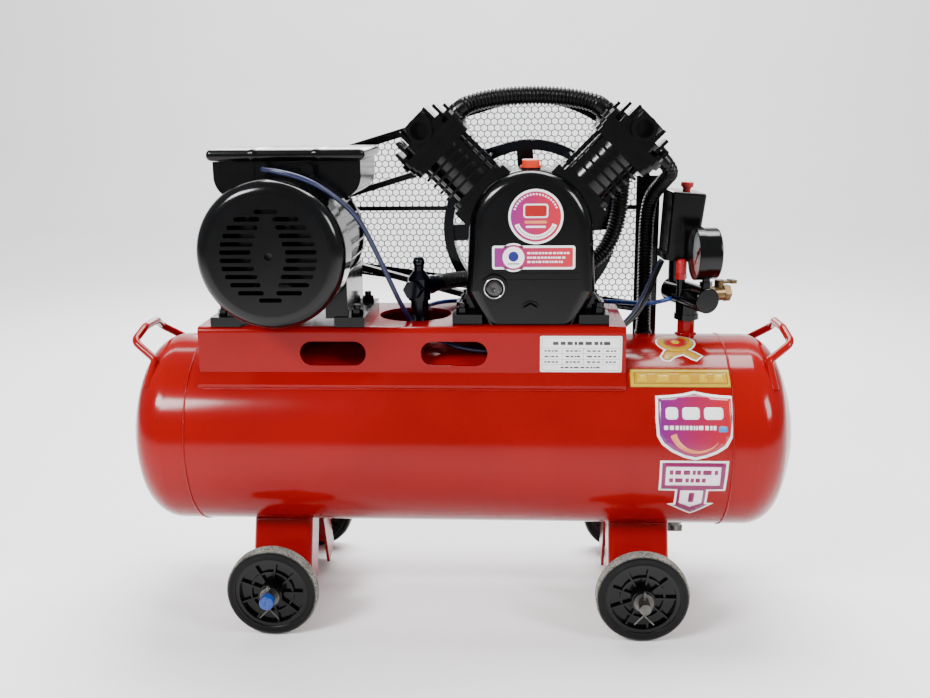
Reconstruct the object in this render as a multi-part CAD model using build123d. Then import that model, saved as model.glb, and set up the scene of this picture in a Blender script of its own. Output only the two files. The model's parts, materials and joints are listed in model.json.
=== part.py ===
from build123d import *
import math
import os

# Belt-driven two-cylinder air compressor on a wheeled horizontal tank.
# Millimetres. X runs along the tank, Z is up, and the operating side faces -Y.
# The origin lies on the floor, under the middle of the tank.

# Tank
tank_r, tank_z, tank_wall = 125.0, 236.0, 3.0
seam_x, straight_x, head_depth, knuckle_r = 338.0, 368.0, 63.0, 43.0
# Wheels, axles and legs
wheel_x, wheel_r, wheel_in, wheel_out = 233.0, 58.5, 123.0, 144.0
axle_r, axle_bar_r, axle_end, running_gap = 7.0, 10.0, 170.0, 0.06
leg_x, leg_width, leg_depth, leg_sheet, leg_tilt = 235.0, 78.0, 46.0, 4.0, 20.0
# Platform
plat_x0, plat_x1, plat_y, plat_top, plat_sheet = -323.0, 210.0, 84.0, 390.0, 4.0
# Motor
motor_x, motor_z, body_r, fin_r = -209.0, 489.0, 77.0, 83.0
motor_y0, motor_y1, cowl_r, cowl_y0, cowl_y1 = -104.0, 62.0, 88.0, -157.0, -104.0
shaft_r = 9.5
# Pump
pump_x, pump_z, case_y0, case_y1, case_r = 93.0, 492.0, -70.0, 40.0, 76.0
bore_r, barrel_r, cyl_y, v_angle = 25.5, 32.0, -11.0, 45.0
crank_throw_r, rod_length, crank_r = 22.0, 110.0, 12.5
# Belt drive
belt_y, belt_width, belt_thick = 100.0, 13.0, 8.0
fly_r, pulley_r, groove_play = 118.0, 35.0, 0.4
# Belt guard
guard_r1, guard_r2, guard_y0, guard_y1, guard_sheet = 178.0, 97.0, 117.0, 150.0, 3.0
# Outlet fittings
riser_x, riser_y, riser_top, mani_z, mani_r, mani_turn = 298.0, 19.0, 380.5, 412.5, 16.5, 21.0

os.makedirs("parts", exist_ok=True)


def save(name, *solids):
    shape = solids[0] if len(solids) == 1 else Compound(children=list(solids))
    export_step(shape, f"parts/{name}.step")
    print(f"{name:24s} {shape.volume / 1000:10.1f} cm3")


def rod(p, q, r):
    """Round bar of radius r from point p to point q."""
    a, b = Vector(*p), Vector(*q)
    axis = b - a
    return extrude(Plane(origin=a, z_dir=axis) * Circle(r), axis.length)


def ring(p, q, r_out, r_in):
    return rod(p, q, r_out) - rod(p, q, r_in)


def hexagon(p, q, across):
    a, b = Vector(*p), Vector(*q)
    axis = b - a
    profile = Plane(origin=a, z_dir=axis) * RegularPolygon(across / 2, 6, major_radius=False)
    return extrude(profile, axis.length)


def block(x0, x1, y0, y1, z0, z1):
    return Pos((x0 + x1) / 2, (y0 + y1) / 2, (z0 + z1) / 2) * Box(x1 - x0, y1 - y0, z1 - z0)


def bend_radii(points):
    """Largest even bends: 0.45 of the shorter run over the tangent of half the turn."""
    radii = []
    for a, b, c in zip(points, points[1:], points[2:]):
        u, v = Vector(*b) - Vector(*a), Vector(*c) - Vector(*b)
        turn = math.radians(u.get_angle(v))
        radii.append(0.45 * min(u.length, v.length) / math.tan(turn / 2))
    return radii


def tube(name, points, r, radii=None):
    """Flexible line of radius r: straight runs joined by tangent arcs."""
    radii = radii or bend_radii(points)
    path = FilletPolyline(*points, radius=radii)
    start = Plane(origin=points[0], z_dir=Vector(*points[1]) - Vector(*points[0]))
    solid = sweep(start * Circle(r), path=path)
    ideal = math.pi * r * r * path.length
    print(f"  {name}: length {path.length:.0f}, bends {[round(v) for v in radii]},"
          f" volume ratio {solid.volume / ideal:.4f}")
    return solid


tank_bar = rod((-seam_x - 60, 0, tank_z), (seam_x + 60, 0, tank_z), tank_r)

# ---- Tank shell with its outlet socket ----
shell = ring((-seam_x, 0, tank_z), (seam_x, 0, tank_z), tank_r, tank_r - tank_wall)
socket = rod((riser_x, riser_y, tank_z + 100), (riser_x, riser_y, riser_top), 11.2) - tank_bar
outlet_bore = rod((riser_x, riser_y, tank_z + 60), (riser_x, riser_y, riser_top), 7.0)
save("tank_shell", shell + socket - outlet_bore)


# ---- Dished ends: straight flange, knuckle arc and crown arc ----
def dish_profile(inset):
    k = knuckle_r - inset
    a = ((tank_r - knuckle_r) ** 2 - (head_depth - knuckle_r) ** 2) / (2 * (head_depth - knuckle_r))
    crown = a + head_depth - inset
    tilt = math.atan2(tank_r - knuckle_r, a)
    knuckle_c = (straight_x, tank_r - knuckle_r)
    crown_c = straight_x - a

    def on_knuckle(t):
        return (knuckle_c[0] + k * math.cos(t), knuckle_c[1] + k * math.sin(t))

    def on_crown(t):
        return (crown_c + crown * math.cos(t), crown * math.sin(t))

    return [Line((seam_x, tank_r - inset), (straight_x, tank_r - inset)),
            ThreePointArc((straight_x, tank_r - inset), on_knuckle((math.pi / 2 + tilt) / 2),
                          on_knuckle(tilt)),
            ThreePointArc(on_crown(tilt), on_crown(tilt / 2), on_crown(0))]


def dish(inset):
    edges = dish_profile(inset)
    edges += [Line(edges[-1] @ 1, (seam_x, 0)), Line((seam_x, 0), (seam_x, tank_r - inset))]
    return revolve(Plane.XZ * make_face(edges), Axis.X, 360)


right_end = Pos(0, 0, tank_z) * (dish(0) - dish(tank_wall))
left_end = Pos(0, 0, tank_z) * (Rot(0, 0, 180) * (dish(0) - dish(tank_wall)))
full_dish = Pos(0, 0, tank_z) * dish(0)
tank_solid = rod((-seam_x, 0, tank_z), (seam_x, 0, tank_z), tank_r) + full_dish + mirror(full_dish, Plane.YZ)
save("dished_ends", left_end, right_end)

# ---- Platform: folded channel with foot strips lying on the tank ----
outer = Rectangle(2 * plat_y, 90)
outer = fillet(outer.vertices().group_by(Axis.Y)[-1], 7)
inner = Rectangle(2 * (plat_y - plat_sheet), 90)
inner = fillet(inner.vertices().group_by(Axis.Y)[-1], 3)
section = Pos(0, plat_top - 45) * outer - Pos(0, plat_top - 45 - plat_sheet) * inner
channel = extrude(Plane(origin=(plat_x0, 0, 0), x_dir=(0, 1, 0), z_dir=(1, 0, 0)) * section,
                  plat_x1 - plat_x0)
strips = ring((plat_x0, 0, tank_z), (plat_x1, 0, tank_z), tank_r + 3, tank_r)
strips = strips & (block(plat_x0, plat_x1, -97, -81, 290, 340) + block(plat_x0, plat_x1, 81, 97, 290, 340))
platform = channel - tank_bar + strips
for x in (-153.0, -1.5):
    slot = Plane(origin=(x, -plat_y - 10, 356.6), x_dir=(1, 0, 0), z_dir=(0, 1, 0)) * SlotOverall(83, 31)
    platform -= extrude(slot, 20)
platform -= Pos(-57, 0, plat_top) * Cylinder(47, 20)
platform -= Pos(-57, 62, plat_top) * Cylinder(4, 20)
save("platform", platform)

# ---- Legs: four splayed U channels welded under the tank ----
outer = Rectangle(leg_width, leg_depth)
outer = fillet(outer.vertices().group_by(Axis.Y)[0], 8)
inner = Pos(0, leg_sheet) * Rectangle(leg_width - 2 * leg_sheet, leg_depth)
inner = fillet(inner.vertices().group_by(Axis.Y)[0], 4)
channel = Pos(0, 0, -32) * extrude(Pos(0, leg_depth / 2) * (outer - inner), 130)
front_leg = Pos(0, -78.5, wheel_r) * Rot(-leg_tilt, 0, 0) * channel
legs = []
for x in (-leg_x, leg_x):
    for turn in (0, 180):
        leg = Pos(x, 0, 0) * (Rot(0, 0, turn) * front_leg)
        axle_hole = rod((math.copysign(wheel_x, x), -150, wheel_r), (math.copysign(wheel_x, x), 150, wheel_r),
                        axle_bar_r)
        legs.append(leg - tank_bar - axle_hole)
save("support_legs", *legs)

# ---- Axles: thick bar between the wheels, turned down where the wheels run ----
axles = []
for x in (-wheel_x, wheel_x):
    axle = rod((x, -117, wheel_r), (x, 117, wheel_r), axle_bar_r)
    axle += rod((x, -axle_end, wheel_r), (x, axle_end, wheel_r), axle_r)
    for y in (-157, 157):
        axle -= rod((x, y, wheel_r - 12), (x, y, wheel_r + 12), 1.8)
    axles.append(axle)
save("axles", *axles)


# ---- Washers and split pins that keep the wheels on ----
def split_pin(x, y, side):
    pin = rod((x, y, wheel_r - 12), (x, y, wheel_r + 10), 1.7)
    pin += Pos(x, y, wheel_r + 13.5) * Rot(0, 90, 0) * Torus(3.6, 1.5)
    for lean in (-1, 1):
        path = FilletPolyline((x + 0.8 * lean, y, wheel_r - 10.5), (x + 0.8 * lean, y, wheel_r - 15),
                              (x + 12 * lean, y + 3 * side, wheel_r - 25), radius=[3.0])
        start = Plane(origin=path @ 0, z_dir=path % 0)
        pin += sweep(start * Circle(0.85), path=path)
    return pin


fasteners = []
for x in (-wheel_x, wheel_x):
    for side in (-1, 1):
        fasteners.append(ring((x, side * 117, wheel_r), (x, side * 119, wheel_r), 15, axle_r))
        fasteners.append(ring((x, side * 150.5, wheel_r), (x, side * 152.5, wheel_r), 12.5, axle_r))
        fasteners.append(split_pin(x, side * 157, side))
save("axle_fasteners", *fasteners)
cap = ring((-wheel_x, -axle_end, wheel_r), (-wheel_x, -160.5, wheel_r), 8.8, axle_r)
save("axle_cap", cap)

# ---- Wheels: ribbed plastic hub and solid rubber tyre, built with the outer side up ----
tyre_profile = Pos(52.3, (wheel_in + wheel_out) / 2) * Rectangle(12.4, wheel_out - wheel_in)
tyre_profile = fillet(tyre_profile.vertices().group_by(Axis.X)[-1], 6.5)
tyre = revolve(Plane.XZ * tyre_profile, Axis.Z, 360)
hub = Pos(0, 0, 124.5) * extrude(Circle(46.1) - Circle(41), 18)
hub += Pos(0, 0, 130) * extrude(Circle(42), 6)
hub += Pos(0, 0, 119.6) * extrude(Circle(15), 30.3)
hub += Pos(0, 0, 134) * extrude(Circle(28) - Circle(25.5), 6)
for i in range(9):
    hub += Rot(0, 0, 40 * i) * block(12, 42, -1.2, 1.2, 126, 141)
hub -= Pos(0, 0, 110) * extrude(Circle(axle_r + running_gap), 60)
for side, turn in (("front", 90), ("rear", -90)):
    for end, x in (("left", -wheel_x), ("right", wheel_x)):
        place = Pos(x, 0, wheel_r) * Rot(turn, 0, 0)
        save(f"{side}_{end}_hub", place * hub)
        save(f"{side}_{end}_tyre", place * tyre)

# ---- Carrying handles: bent round bar across each end, welded to the dish at both feet ----
bar_r = 5.0
near_half = [(392, -87, 312), (387.5, -63, 343), (418, -50, 364), (413, -22, 377)]
far_half = [(x, -y, z) for x, y, z in reversed(near_half)]
handle_path = FilletPolyline(*near_half, *far_half, radius=[9, 13, 20, 20, 13, 9])
bar = sweep(Plane(origin=handle_path @ 0, z_dir=handle_path % 0) * Circle(bar_r), path=handle_path)
right_handle = bar - tank_solid
right_handle = right_handle.solids().sort_by(SortBy.VOLUME)[-1]
save("carrying_handles", mirror(right_handle, Plane.YZ), right_handle)

# ---- Drain cock under the right end of the tank ----
drain_x = 290.0
cock = rod((drain_x, 0, 98), (drain_x, 0, 125), 8) - tank_bar
cock += hexagon((drain_x, 0, 99), (drain_x, 0, 107), 17)
cock -= rod((drain_x, 0, 96), (drain_x, 0, 130), 3.1)
save("drain_cock_body", cock)
tap = rod((drain_x, 0, 90), (drain_x, 0, 108), 3.0) + rod((drain_x, 0, 90), (drain_x, 0, 97.6), 5.5)
tap += block(drain_x - 11, drain_x + 11, -1.5, 1.5, 88, 97)
save("drain_tap", tap)

# ---- Manifold on the tank outlet ----
turn = math.radians(mani_turn)
along = Vector(math.sin(turn), -math.cos(turn), 0)
across = Vector(math.cos(turn), math.sin(turn), 0)
mani_c = Vector(riser_x, riser_y, mani_z)


def on_manifold(t, side=0.0, up=0.0):
    p = mani_c + along * t + across * side + Vector(0, 0, up)
    return (p.X, p.Y, p.Z)


manifold = rod(on_manifold(-42), on_manifold(52), mani_r)
manifold = fillet(manifold.edges().filter_by(GeomType.CIRCLE), 2.0)
manifold += rod((riser_x, riser_y, riser_top), (riser_x, riser_y, mani_z), 14.5)
manifold += rod((riser_x, riser_y, riser_top), (riser_x, riser_y, riser_top + 7), 16)
manifold += rod(on_manifold(-31), on_manifold(-31, up=42.4), 10)
manifold += rod(on_manifold(45), on_manifold(45, up=18), 6)
manifold += rod(on_manifold(8), on_manifold(8, side=19), 9.5)
safety = Vector(*on_manifold(6.1, side=-13.3))
manifold += rod((safety.X, safety.Y, mani_z), (safety.X, safety.Y, mani_z + 22), 5.5)
manifold -= rod(on_manifold(-36), on_manifold(46), 8)
manifold -= rod((riser_x, riser_y, riser_top - 5), (riser_x, riser_y, mani_z), 7)
save("manifold", manifold)

# ---- Safety valve: hexagon body under a domed red cap ----
valve = hexagon((safety.X, safety.Y, mani_z + 22), (safety.X, safety.Y, mani_z + 29), 12.6)
dome = rod((safety.X, safety.Y, mani_z + 29), (safety.X, safety.Y, mani_z + 48), 6.8)
dome = fillet(dome.edges().filter_by(GeomType.CIRCLE).sort_by(Axis.Z)[-1], 5)
save("safety_valve", valve + dome)

# ---- Outlet ball valve and its lever ----
lever_at = Vector(*on_manifold(8, side=42))
outlet = hexagon(on_manifold(8, side=19), on_manifold(8, side=31), 21)
outlet += rod(on_manifold(8, side=19), on_manifold(8, side=54), 10)
outlet += hexagon(on_manifold(8, side=47), on_manifold(8, side=56), 20)
outlet += rod((lever_at.X, lever_at.Y, mani_z), (lever_at.X, lever_at.Y, mani_z + 12), 6)
outlet -= rod(on_manifold(8, side=14), on_manifold(8, side=62), 5.2)
outlet -= rod(on_manifold(8, side=42), on_manifold(8, side=62), 6.6)
save("outlet_valve_body", outlet)
lever = rod((0, 0, 12.4), (0, 0, 18), 6) + block(0, 20, -5, 5, 13, 16) + block(15, 23, -6.5, 6.5, 12.4, 17)
lever = Pos(lever_at.X, lever_at.Y, mani_z) * Rot(0, 0, mani_turn) * lever
save("valve_lever", lever)

# ---- Pressure gauge, its dial facing the left end ----
gauge_r, gauge_deep = 33.4, 29.0
gauge_c = Vector(312.0, -23.0, 472.2)
gauge_place = Pos(gauge_c.X, gauge_c.Y, gauge_c.Z) * Rot(0, 0, 5) * Rot(0, -90, 0)
case = Pos(0, 0, -gauge_deep / 2) * extrude(Circle(gauge_r - 1.2), gauge_deep)
case += Pos(0, 0, gauge_deep / 2 - 9) * extrude(Circle(gauge_r), 9)
case = fillet(case.edges().group_by(Axis.Z)[0], 3)
case -= Pos(0, 0, gauge_deep / 2 - 8) * extrude(Circle(gauge_r - 3), 9)
case += Pos(0, 0, gauge_deep / 2 - 9) * extrude(Circle(1.2), 4)
stem_top = Vector(*on_manifold(45, up=18))
stem = rod((stem_top.X, stem_top.Y, stem_top.Z), (stem_top.X, stem_top.Y, 446), 5)
case = gauge_place * case
nut = hexagon((stem_top.X, stem_top.Y, stem_top.Z), (stem_top.X, stem_top.Y, stem_top.Z + 6), 14)
save("gauge_case", case + stem + nut)
save("gauge_lens", gauge_place * (Pos(0, 0, gauge_deep / 2 - 2.6) * extrude(Circle(gauge_r - 3), 1.8)))
needle = Pos(0, 0, gauge_deep / 2 - 7.2) * extrude(Circle(3.2) - Circle(1.26), 1.2)
needle += Pos(0, 0, gauge_deep / 2 - 7.2) * extrude(
    make_face(Polyline((2, -1.3), (2, 1.3), (23.5, 0.35), (23.5, -0.35), close=True)), 1.2)
needle += Pos(0, 0, gauge_deep / 2 - 7.2) * extrude(
    make_face(Polyline((-2, -1.3), (-2, 1.3), (-9, 1.8), (-9, -1.8), close=True)), 1.2)
needle_zero = 135.0
save("gauge_needle", gauge_place * (Rot(0, 0, needle_zero) * needle))

# ---- Pressure switch: flanged base, tall cover and red knob ----
switch_place = Pos(*on_manifold(-31, up=43.4)) * Rot(0, 5, 0) * Rot(0, 0, 4)
base = extrude(RectangleRounded(45, 60, 4), 9)
save("pressure_switch_base", switch_place * base)
cover = Pos(0, 0, 9) * loft([Pos(0, 0, 0) * RectangleRounded(39, 60, 4), Pos(0, 0, 80) * RectangleRounded(44, 64, 4)])
cover = fillet(cover.edges().group_by(Axis.Z)[-1], 3)
hollow = Pos(0, 0, 9) * loft([Pos(0, 0, 0) * RectangleRounded(33, 53, 3), Pos(0, 0, 76) * RectangleRounded(38, 57, 3)])
cover -= hollow
knob_y = -8.0
cover -= Pos(0, knob_y, 80) * extrude(Circle(5.3), 15)
save("pressure_switch_cover", switch_place * cover)
knob = Pos(0, knob_y, 76) * extrude(Circle(5.0), 19.5)
knob += Pos(0, knob_y, 93) * extrude(Circle(6.2), 2) + Pos(0, knob_y, 95) * extrude(Circle(8.2), 6)
knob = fillet(knob.edges().group_by(Axis.Z)[-1], 1.5)
save("switch_knob", switch_place * knob)

# ---- Motor housing: finned barrel, end plates and feet ----
profile = Circle(body_r)
for i in range(30):
    profile += Rot(0, 0, 12 * i) * Pos((body_r + fin_r) / 2 - 1, 0) * Rectangle(fin_r - body_r + 2, 2.6)
down_y = Plane(origin=(motor_x, motor_y0, motor_z), x_dir=(1, 0, 0), z_dir=(0, 1, 0))
housing = extrude(down_y * profile, motor_y1 - 22 - motor_y0)
axis = (motor_x, motor_z)


def on_motor(y0, y1, r):
    return rod((motor_x, y0, motor_z), (motor_x, y1, motor_z), r)


bell = on_motor(motor_y1 - 22, motor_y1, 80)
bell = fillet(bell.edges().filter_by(GeomType.CIRCLE).sort_by(Axis.Y)[-1], 14)
housing += bell + on_motor(motor_y1, motor_y1 + 8, 22)
for side in (-1, 1):
    housing += block(motor_x + side * 62 - 14, motor_x + side * 62 + 14, -78, 44, plat_top + 10, motor_z - 35)
    housing += block(motor_x + side * 78 - 19, motor_x + side * 78 + 19, -82, 48, plat_top, plat_top + 12)
housing -= on_motor(motor_y0 + 8, motor_y1 - 8, body_r - 6)
housing -= on_motor(motor_y0 - 1, motor_y1 + 20, shaft_r + running_gap)
bolt_spots = []
for x in (motor_x - 85, motor_x + 85):
    for y in (-62, 30):
        bolt_spots.append((x, y, plat_top + 12))
        housing -= rod((x, y, plat_top - 1), (x, y, plat_top + 14), 4.5)
save("motor_housing", housing)
stator = on_motor(-62, 22, body_r - 6) - on_motor(-70, 30, 46.0)
stator += on_motor(-76, 36, 66) - on_motor(-80, 40, 52)
save("motor_stator", stator)
rotor = on_motor(-148, 116, shaft_r) + on_motor(-58, 18, 45.5)
save("motor_rotor", rotor)

# ---- Fan cowl with two columns of slots, and the fan behind it ----
cowl = on_motor(cowl_y0, cowl_y1, cowl_r)
cowl = fillet(cowl.edges().filter_by(GeomType.CIRCLE).sort_by(Axis.Y)[0], 17)
void = on_motor(cowl_y0 + 2.5, cowl_y1 + 1, cowl_r - 2.5)
void = fillet(void.edges().filter_by(GeomType.CIRCLE).sort_by(Axis.Y)[0], 14.5)
cowl -= void
cowl_face = Plane(origin=(motor_x, cowl_y0 - 1, motor_z), x_dir=(1, 0, 0), z_dir=(0, 1, 0))
for i in range(10):
    dz = -42.75 + 9.5 * i
    far = math.sqrt(57 ** 2 - dz ** 2)
    near = 21.5 - 0.33 * abs(dz)
    for side in (-1, 1):
        slot = Pos(side * (near + far) / 2, dz) * SlotOverall(far - near, 5.2)
        cowl -= extrude(cowl_face * slot, 5)
for dz in (-51.3, 51.3):
    cowl -= extrude(cowl_face * (Pos(0, dz) * SlotOverall(27, 5)), 5)
cowl -= on_motor(cowl_y0 - 1, cowl_y0 + 4, 4.6)
for i in range(4):
    a = math.radians(45 + 90 * i)
    lug = Pos(motor_x, 0, motor_z) * Rot(0, -(45 + 90 * i), 0) * block(fin_r - 4, cowl_r - 1, -112, -104, -6, 6)
    cowl += lug
save("fan_cowl", cowl)
fan = on_motor(-140, -112, 16)
for i in range(6):
    fan += Pos(motor_x, 0, motor_z) * Rot(0, 60 * i, 0) * block(12, 72, -142, -112, -1.5, 1.5)
fan += on_motor(-114, -112, 72)
fan -= on_motor(-150, -105, shaft_r)
save("cooling_fan", fan)

# ---- Terminal box saddled on the motor, with cable glands and a lid ----
section = RectangleRounded(176, 88, 26)
box = extrude(Plane(origin=(-195, -103.5, 594), x_dir=(1, 0, 0), z_dir=(0, 1, 0)) * section, 116)
box = box & block(-300, -90, -110, 20, 545, 594)
box -= block(-278, -112, -100.5, 8, 560, 600)
box -= on_motor(-120, 30, fin_r + 0.5)
for x in (-232, -157):
    box -= block(x - 1.2, x + 1.2, -105, -102.3, 555, 594)
for x, z in ((-219, 585.6), (-167, 584)):
    box += rod((x, -114, z), (x, -101, z), 7.5) + hexagon((x, -118, z), (x, -109, z), 13.6)
box -= rod((-219, -130, 585.6), (-219, -100, 585.6), 3.1)
save("terminal_box", box)
lid = extrude(Plane(origin=(0, 0, 594)) * (Pos(-195, -48) * RectangleRounded(188, 130, 8)), 15)
lid = fillet(lid.edges().group_by(Axis.Z)[-1], 3)
save("terminal_box_lid", lid - block(-280, -110, -104, 8, 590, 604))

# ---- Crankcase: domed body, feet, cylinder pads and bearing boss ----
left, right = pump_x - case_r, pump_x + case_r
dome_z = pump_z + 12
edges = [Polyline((left, dome_z), (pump_x - 80, 430), (pump_x - 66, 402), (pump_x - 60, plat_top),
                  (pump_x + 60, plat_top), (pump_x + 66, 402), (pump_x + 80, 430), (right, dome_z)),
         ThreePointArc((right, dome_z), (pump_x, dome_z + case_r), (left, dome_z))]
front = Plane(origin=(0, case_y0, 0), x_dir=(1, 0, 0), z_dir=(0, -1, 0))
body = extrude(front * make_face(edges), -(case_y1 - case_y0))
body = fillet(body.edges().group_by(Axis.Y)[0].filter_by(lambda e: e.center().Z > 400), 17)
for side in (-1, 1):
    for y0, y1, rib_y, bolt_y in ((case_y0, -36, -36, -56), (14, case_y1 + 6, 24, 36)):
        x0, x1 = sorted((pump_x + side * 60, pump_x + side * 97))
        body += block(x0, x1, y0, y1, plat_top, plat_top + 13)
        gusset = make_face(Polyline((0, 0), (26, 0), (6, 34), (0, 34), close=True))
        gusset = extrude(Plane(origin=(pump_x + side * 68, rib_y, plat_top + 13),
                               x_dir=(side, 0, 0), z_dir=(0, -side, 0)) * gusset, 10 * side)
        body += gusset
        bolt_spots.append((pump_x + side * 85, bolt_y, plat_top + 13))
pump_axis = Pos(pump_x, cyl_y, pump_z)
for tilt in (-v_angle, v_angle):
    body += pump_axis * Rot(0, tilt, 0) * (Pos(0, 0, 79) * Box(84, 80, 22))
body += rod((pump_x, case_y1, pump_z), (pump_x, 54, pump_z), 30)
body += rod((pump_x, -42, 570), (pump_x, -42, 581), 12)
cavity = rod((pump_x, -58, pump_z), (pump_x, 28, pump_z), 62)
cavity += block(pump_x - 62, pump_x + 62, -58, 28, 402, pump_z)
body -= cavity
for tilt in (-v_angle, v_angle):
    body -= pump_axis * Rot(0, tilt, 0) * (Pos(0, 0, 40) * extrude(Circle(bore_r + 3), 60))
body -= rod((pump_x, 0, pump_z), (pump_x, 60, pump_z), crank_r + running_gap)
body -= rod((pump_x, -42, 540), (pump_x, -42, 590), 8)
for x, y, z in bolt_spots[4:]:
    body -= rod((x, y, plat_top - 1), (x, y, z + 1), 4.5)
for z in (447, 455):
    body -= block(pump_x - 60, pump_x + 60, case_y0 - 1, case_y0 + 1.2, z, z + 2)
save("crankcase", body)
cap = rod((pump_x, -42, 570), (pump_x, -42, 581.3), 7.7) + rod((pump_x, -42, 581.3), (pump_x, -42, 591), 13.2)
cap = fillet(cap.edges().group_by(Axis.Z)[-1], 2)
cap -= block(pump_x - 14, pump_x - 10.5, -56, -28, 584, 592) + block(pump_x + 10.5, pump_x + 14, -56, -28, 584, 592)
save("oil_filler_cap", cap)
sight = ring((48.5, case_y0 - 6, 437), (48.5, case_y0, 437), 16.5, 11.5)
sight += rod((48.5, case_y0 - 2.5, 437), (48.5, case_y0, 437), 12)
save("oil_sight_glass", sight)
plug = rod((pump_x, case_y0 - 3, 409), (pump_x, case_y0, 409), 11.5)
plug += hexagon((pump_x, case_y0 - 11, 409), (pump_x, case_y0 - 3, 409), 16)
save("crankcase_drain_plug", plug)

# ---- Cylinders: finned barrels on the 45 degree pads ----
cylinder = Pos(0, 0, 90) * extrude(RectangleRounded(74, 72, 8), 7)
cylinder += Pos(0, 0, 90) * extrude(Circle(barrel_r), 68)
cylinder += Pos(0, 0, 150) * extrude(RectangleRounded(84, 82, 8), 8)
for s in (107, 118, 129, 140):
    cylinder += Pos(0, 0, s) * extrude(RectangleRounded(78, 76, 12), 3.2)
cylinder += block(-1.6, 1.6, -36, 36, 95, 152) + block(-36, 36, -1.6, 1.6, 95, 152)
cylinder -= Pos(0, 0, 85) * extrude(Circle(bore_r), 80)
for name, tilt in (("left_cylinder", -v_angle), ("right_cylinder", v_angle)):
    save(name, pump_axis * Rot(0, tilt, 0) * cylinder)


# ---- Heads: base plate, finned chamber and front intake port ----
def cylinder_head(inner_side):
    head = Pos(0, 0, 166) * extrude(RectangleRounded(95, 90, 10), 9)
    head += Pos(0, 0, 174) * extrude(RectangleRounded(38, 74, 8), 32) + Pos(0, 0, 174) * extrude(RectangleRounded(62, 74, 8), 14)
    for x, top in ((-42, 192), (-32, 201), (-21, 207), (21, 207), (32, 201), (42, 192)):
        head += block(x - 2, x + 2, -30, 30, 174, top)
    head += Pos(0, 0, 190) * Rot(90, 0, 0) * extrude(Circle(15.5), 50)
    head -= Pos(0, -50, 190) * Rot(-90, 0, 0) * extrude(Circle(11), 42)
    x0, x1 = sorted((inner_side * 20, inner_side * 48))
    head += Pos((x0 + x1) / 2, 11, 175) * Rot(0, 90, 0) * Cylinder(13, x1 - x0)
    return head


valve_plate = Pos(0, 0, 158) * extrude(RectangleRounded(88, 84, 8), 8)
left_head = cylinder_head(1)
right_head = cylinder_head(-1)
right_head += Pos(0, 40, 178) * Rot(90, 0, 0) * Cylinder(13, 16)
right_head += Pos(39, 14, 184) * Rot(0, 90, 0) * Cylinder(12, 18)
save("left_head", pump_axis * Rot(0, -v_angle, 0) * left_head, pump_axis * Rot(0, -v_angle, 0) * valve_plate)
save("right_head", pump_axis * Rot(0, v_angle, 0) * right_head, pump_axis * Rot(0, v_angle, 0) * valve_plate)
screws = []
for tilt in (-v_angle, v_angle):
    for x in (-37.5, 37.5):
        for y in (-37, 0, 37):
            if y == 0:
                continue
            screw = hexagon((x, y, 175), (x, y, 181), 11)
            screws.append(pump_axis * Rot(0, tilt, 0) * screw)
save("head_bolts", *screws)

# ---- Pistons, rods and crank throw at one crank position, the crankpin on top ----
pistons, rods = [], []
sin_part = crank_throw_r * math.sin(math.radians(v_angle))
pin_s = crank_throw_r * math.cos(math.radians(v_angle)) + math.sqrt(rod_length ** 2 - sin_part ** 2)
for tilt, y in ((-v_angle, -8.0), (v_angle, 8.0)):
    place = pump_axis * Rot(0, tilt, 0)
    piston = Pos(0, 0, pin_s - 16) * extrude(Circle(bore_r - 0.1), 40)
    piston -= Pos(0, 0, pin_s - 17) * extrude(Circle(bore_r - 4), 35)
    piston += Pos(0, 0, pin_s) * Rot(90, 0, 0) * Cylinder(6, 2 * bore_r - 5)
    pistons.append(place * piston)
    a = math.radians(tilt)
    small = Vector(pump_x + pin_s * math.sin(a), cyl_y + y, pump_z + pin_s * math.cos(a))
    big = Vector(pump_x, cyl_y + y, pump_z + crank_throw_r)
    half = Vector(0, 5, 0)
    pull = (small - big).normalized()
    shank = extrude(Plane(origin=big + pull * 12, x_dir=(0, 1, 0), z_dir=pull) * Rectangle(7, 9),
                    (small - big).length - 20)
    link = rod(big - half, big + half, 15) + rod(small - half, small + half, 10) + shank
    link -= rod(big - half * 2, big + half * 2, 9)
    link -= rod(small - half * 2, small + half * 2, 6)
    rods.append(link)
save("pistons", *pistons)
save("connecting_rods", *rods)
throw = rod((pump_x, cyl_y - 20, pump_z + crank_throw_r), (pump_x, 14, pump_z + crank_throw_r), 9)
web = make_face(Polyline((-14, 36), (14, 36), (30, -18), (18, -36), (-18, -36), (-30, -18), close=True))
throw += extrude(Plane(origin=(pump_x, 14, pump_z), x_dir=(1, 0, 0), z_dir=(0, -1, 0)) * web, -11)
save("crank_throw", throw)

# ---- Crankshaft and flywheel ----
shaft = rod((pump_x, 26, pump_z), (pump_x, 121, pump_z), crank_r)
shaft += hexagon((pump_x, 118, pump_z), (pump_x, 126, pump_z), 30)
save("crankshaft", shaft)


def wheel_about(x, z, y0, y1, r):
    return rod((x, y0, z), (x, y1, z), r)


def belt_wheel(x, z, r, half_width):
    wheel = wheel_about(x, z, belt_y - half_width, belt_y + half_width, r)
    groove = wheel_about(x, z, belt_y - belt_width / 2 - groove_play, belt_y + belt_width / 2 + groove_play, r + 1)
    floor = wheel_about(x, z, belt_y - 20, belt_y + 20, r - belt_thick + 1 - groove_play)
    return wheel - (groove - floor)


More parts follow.
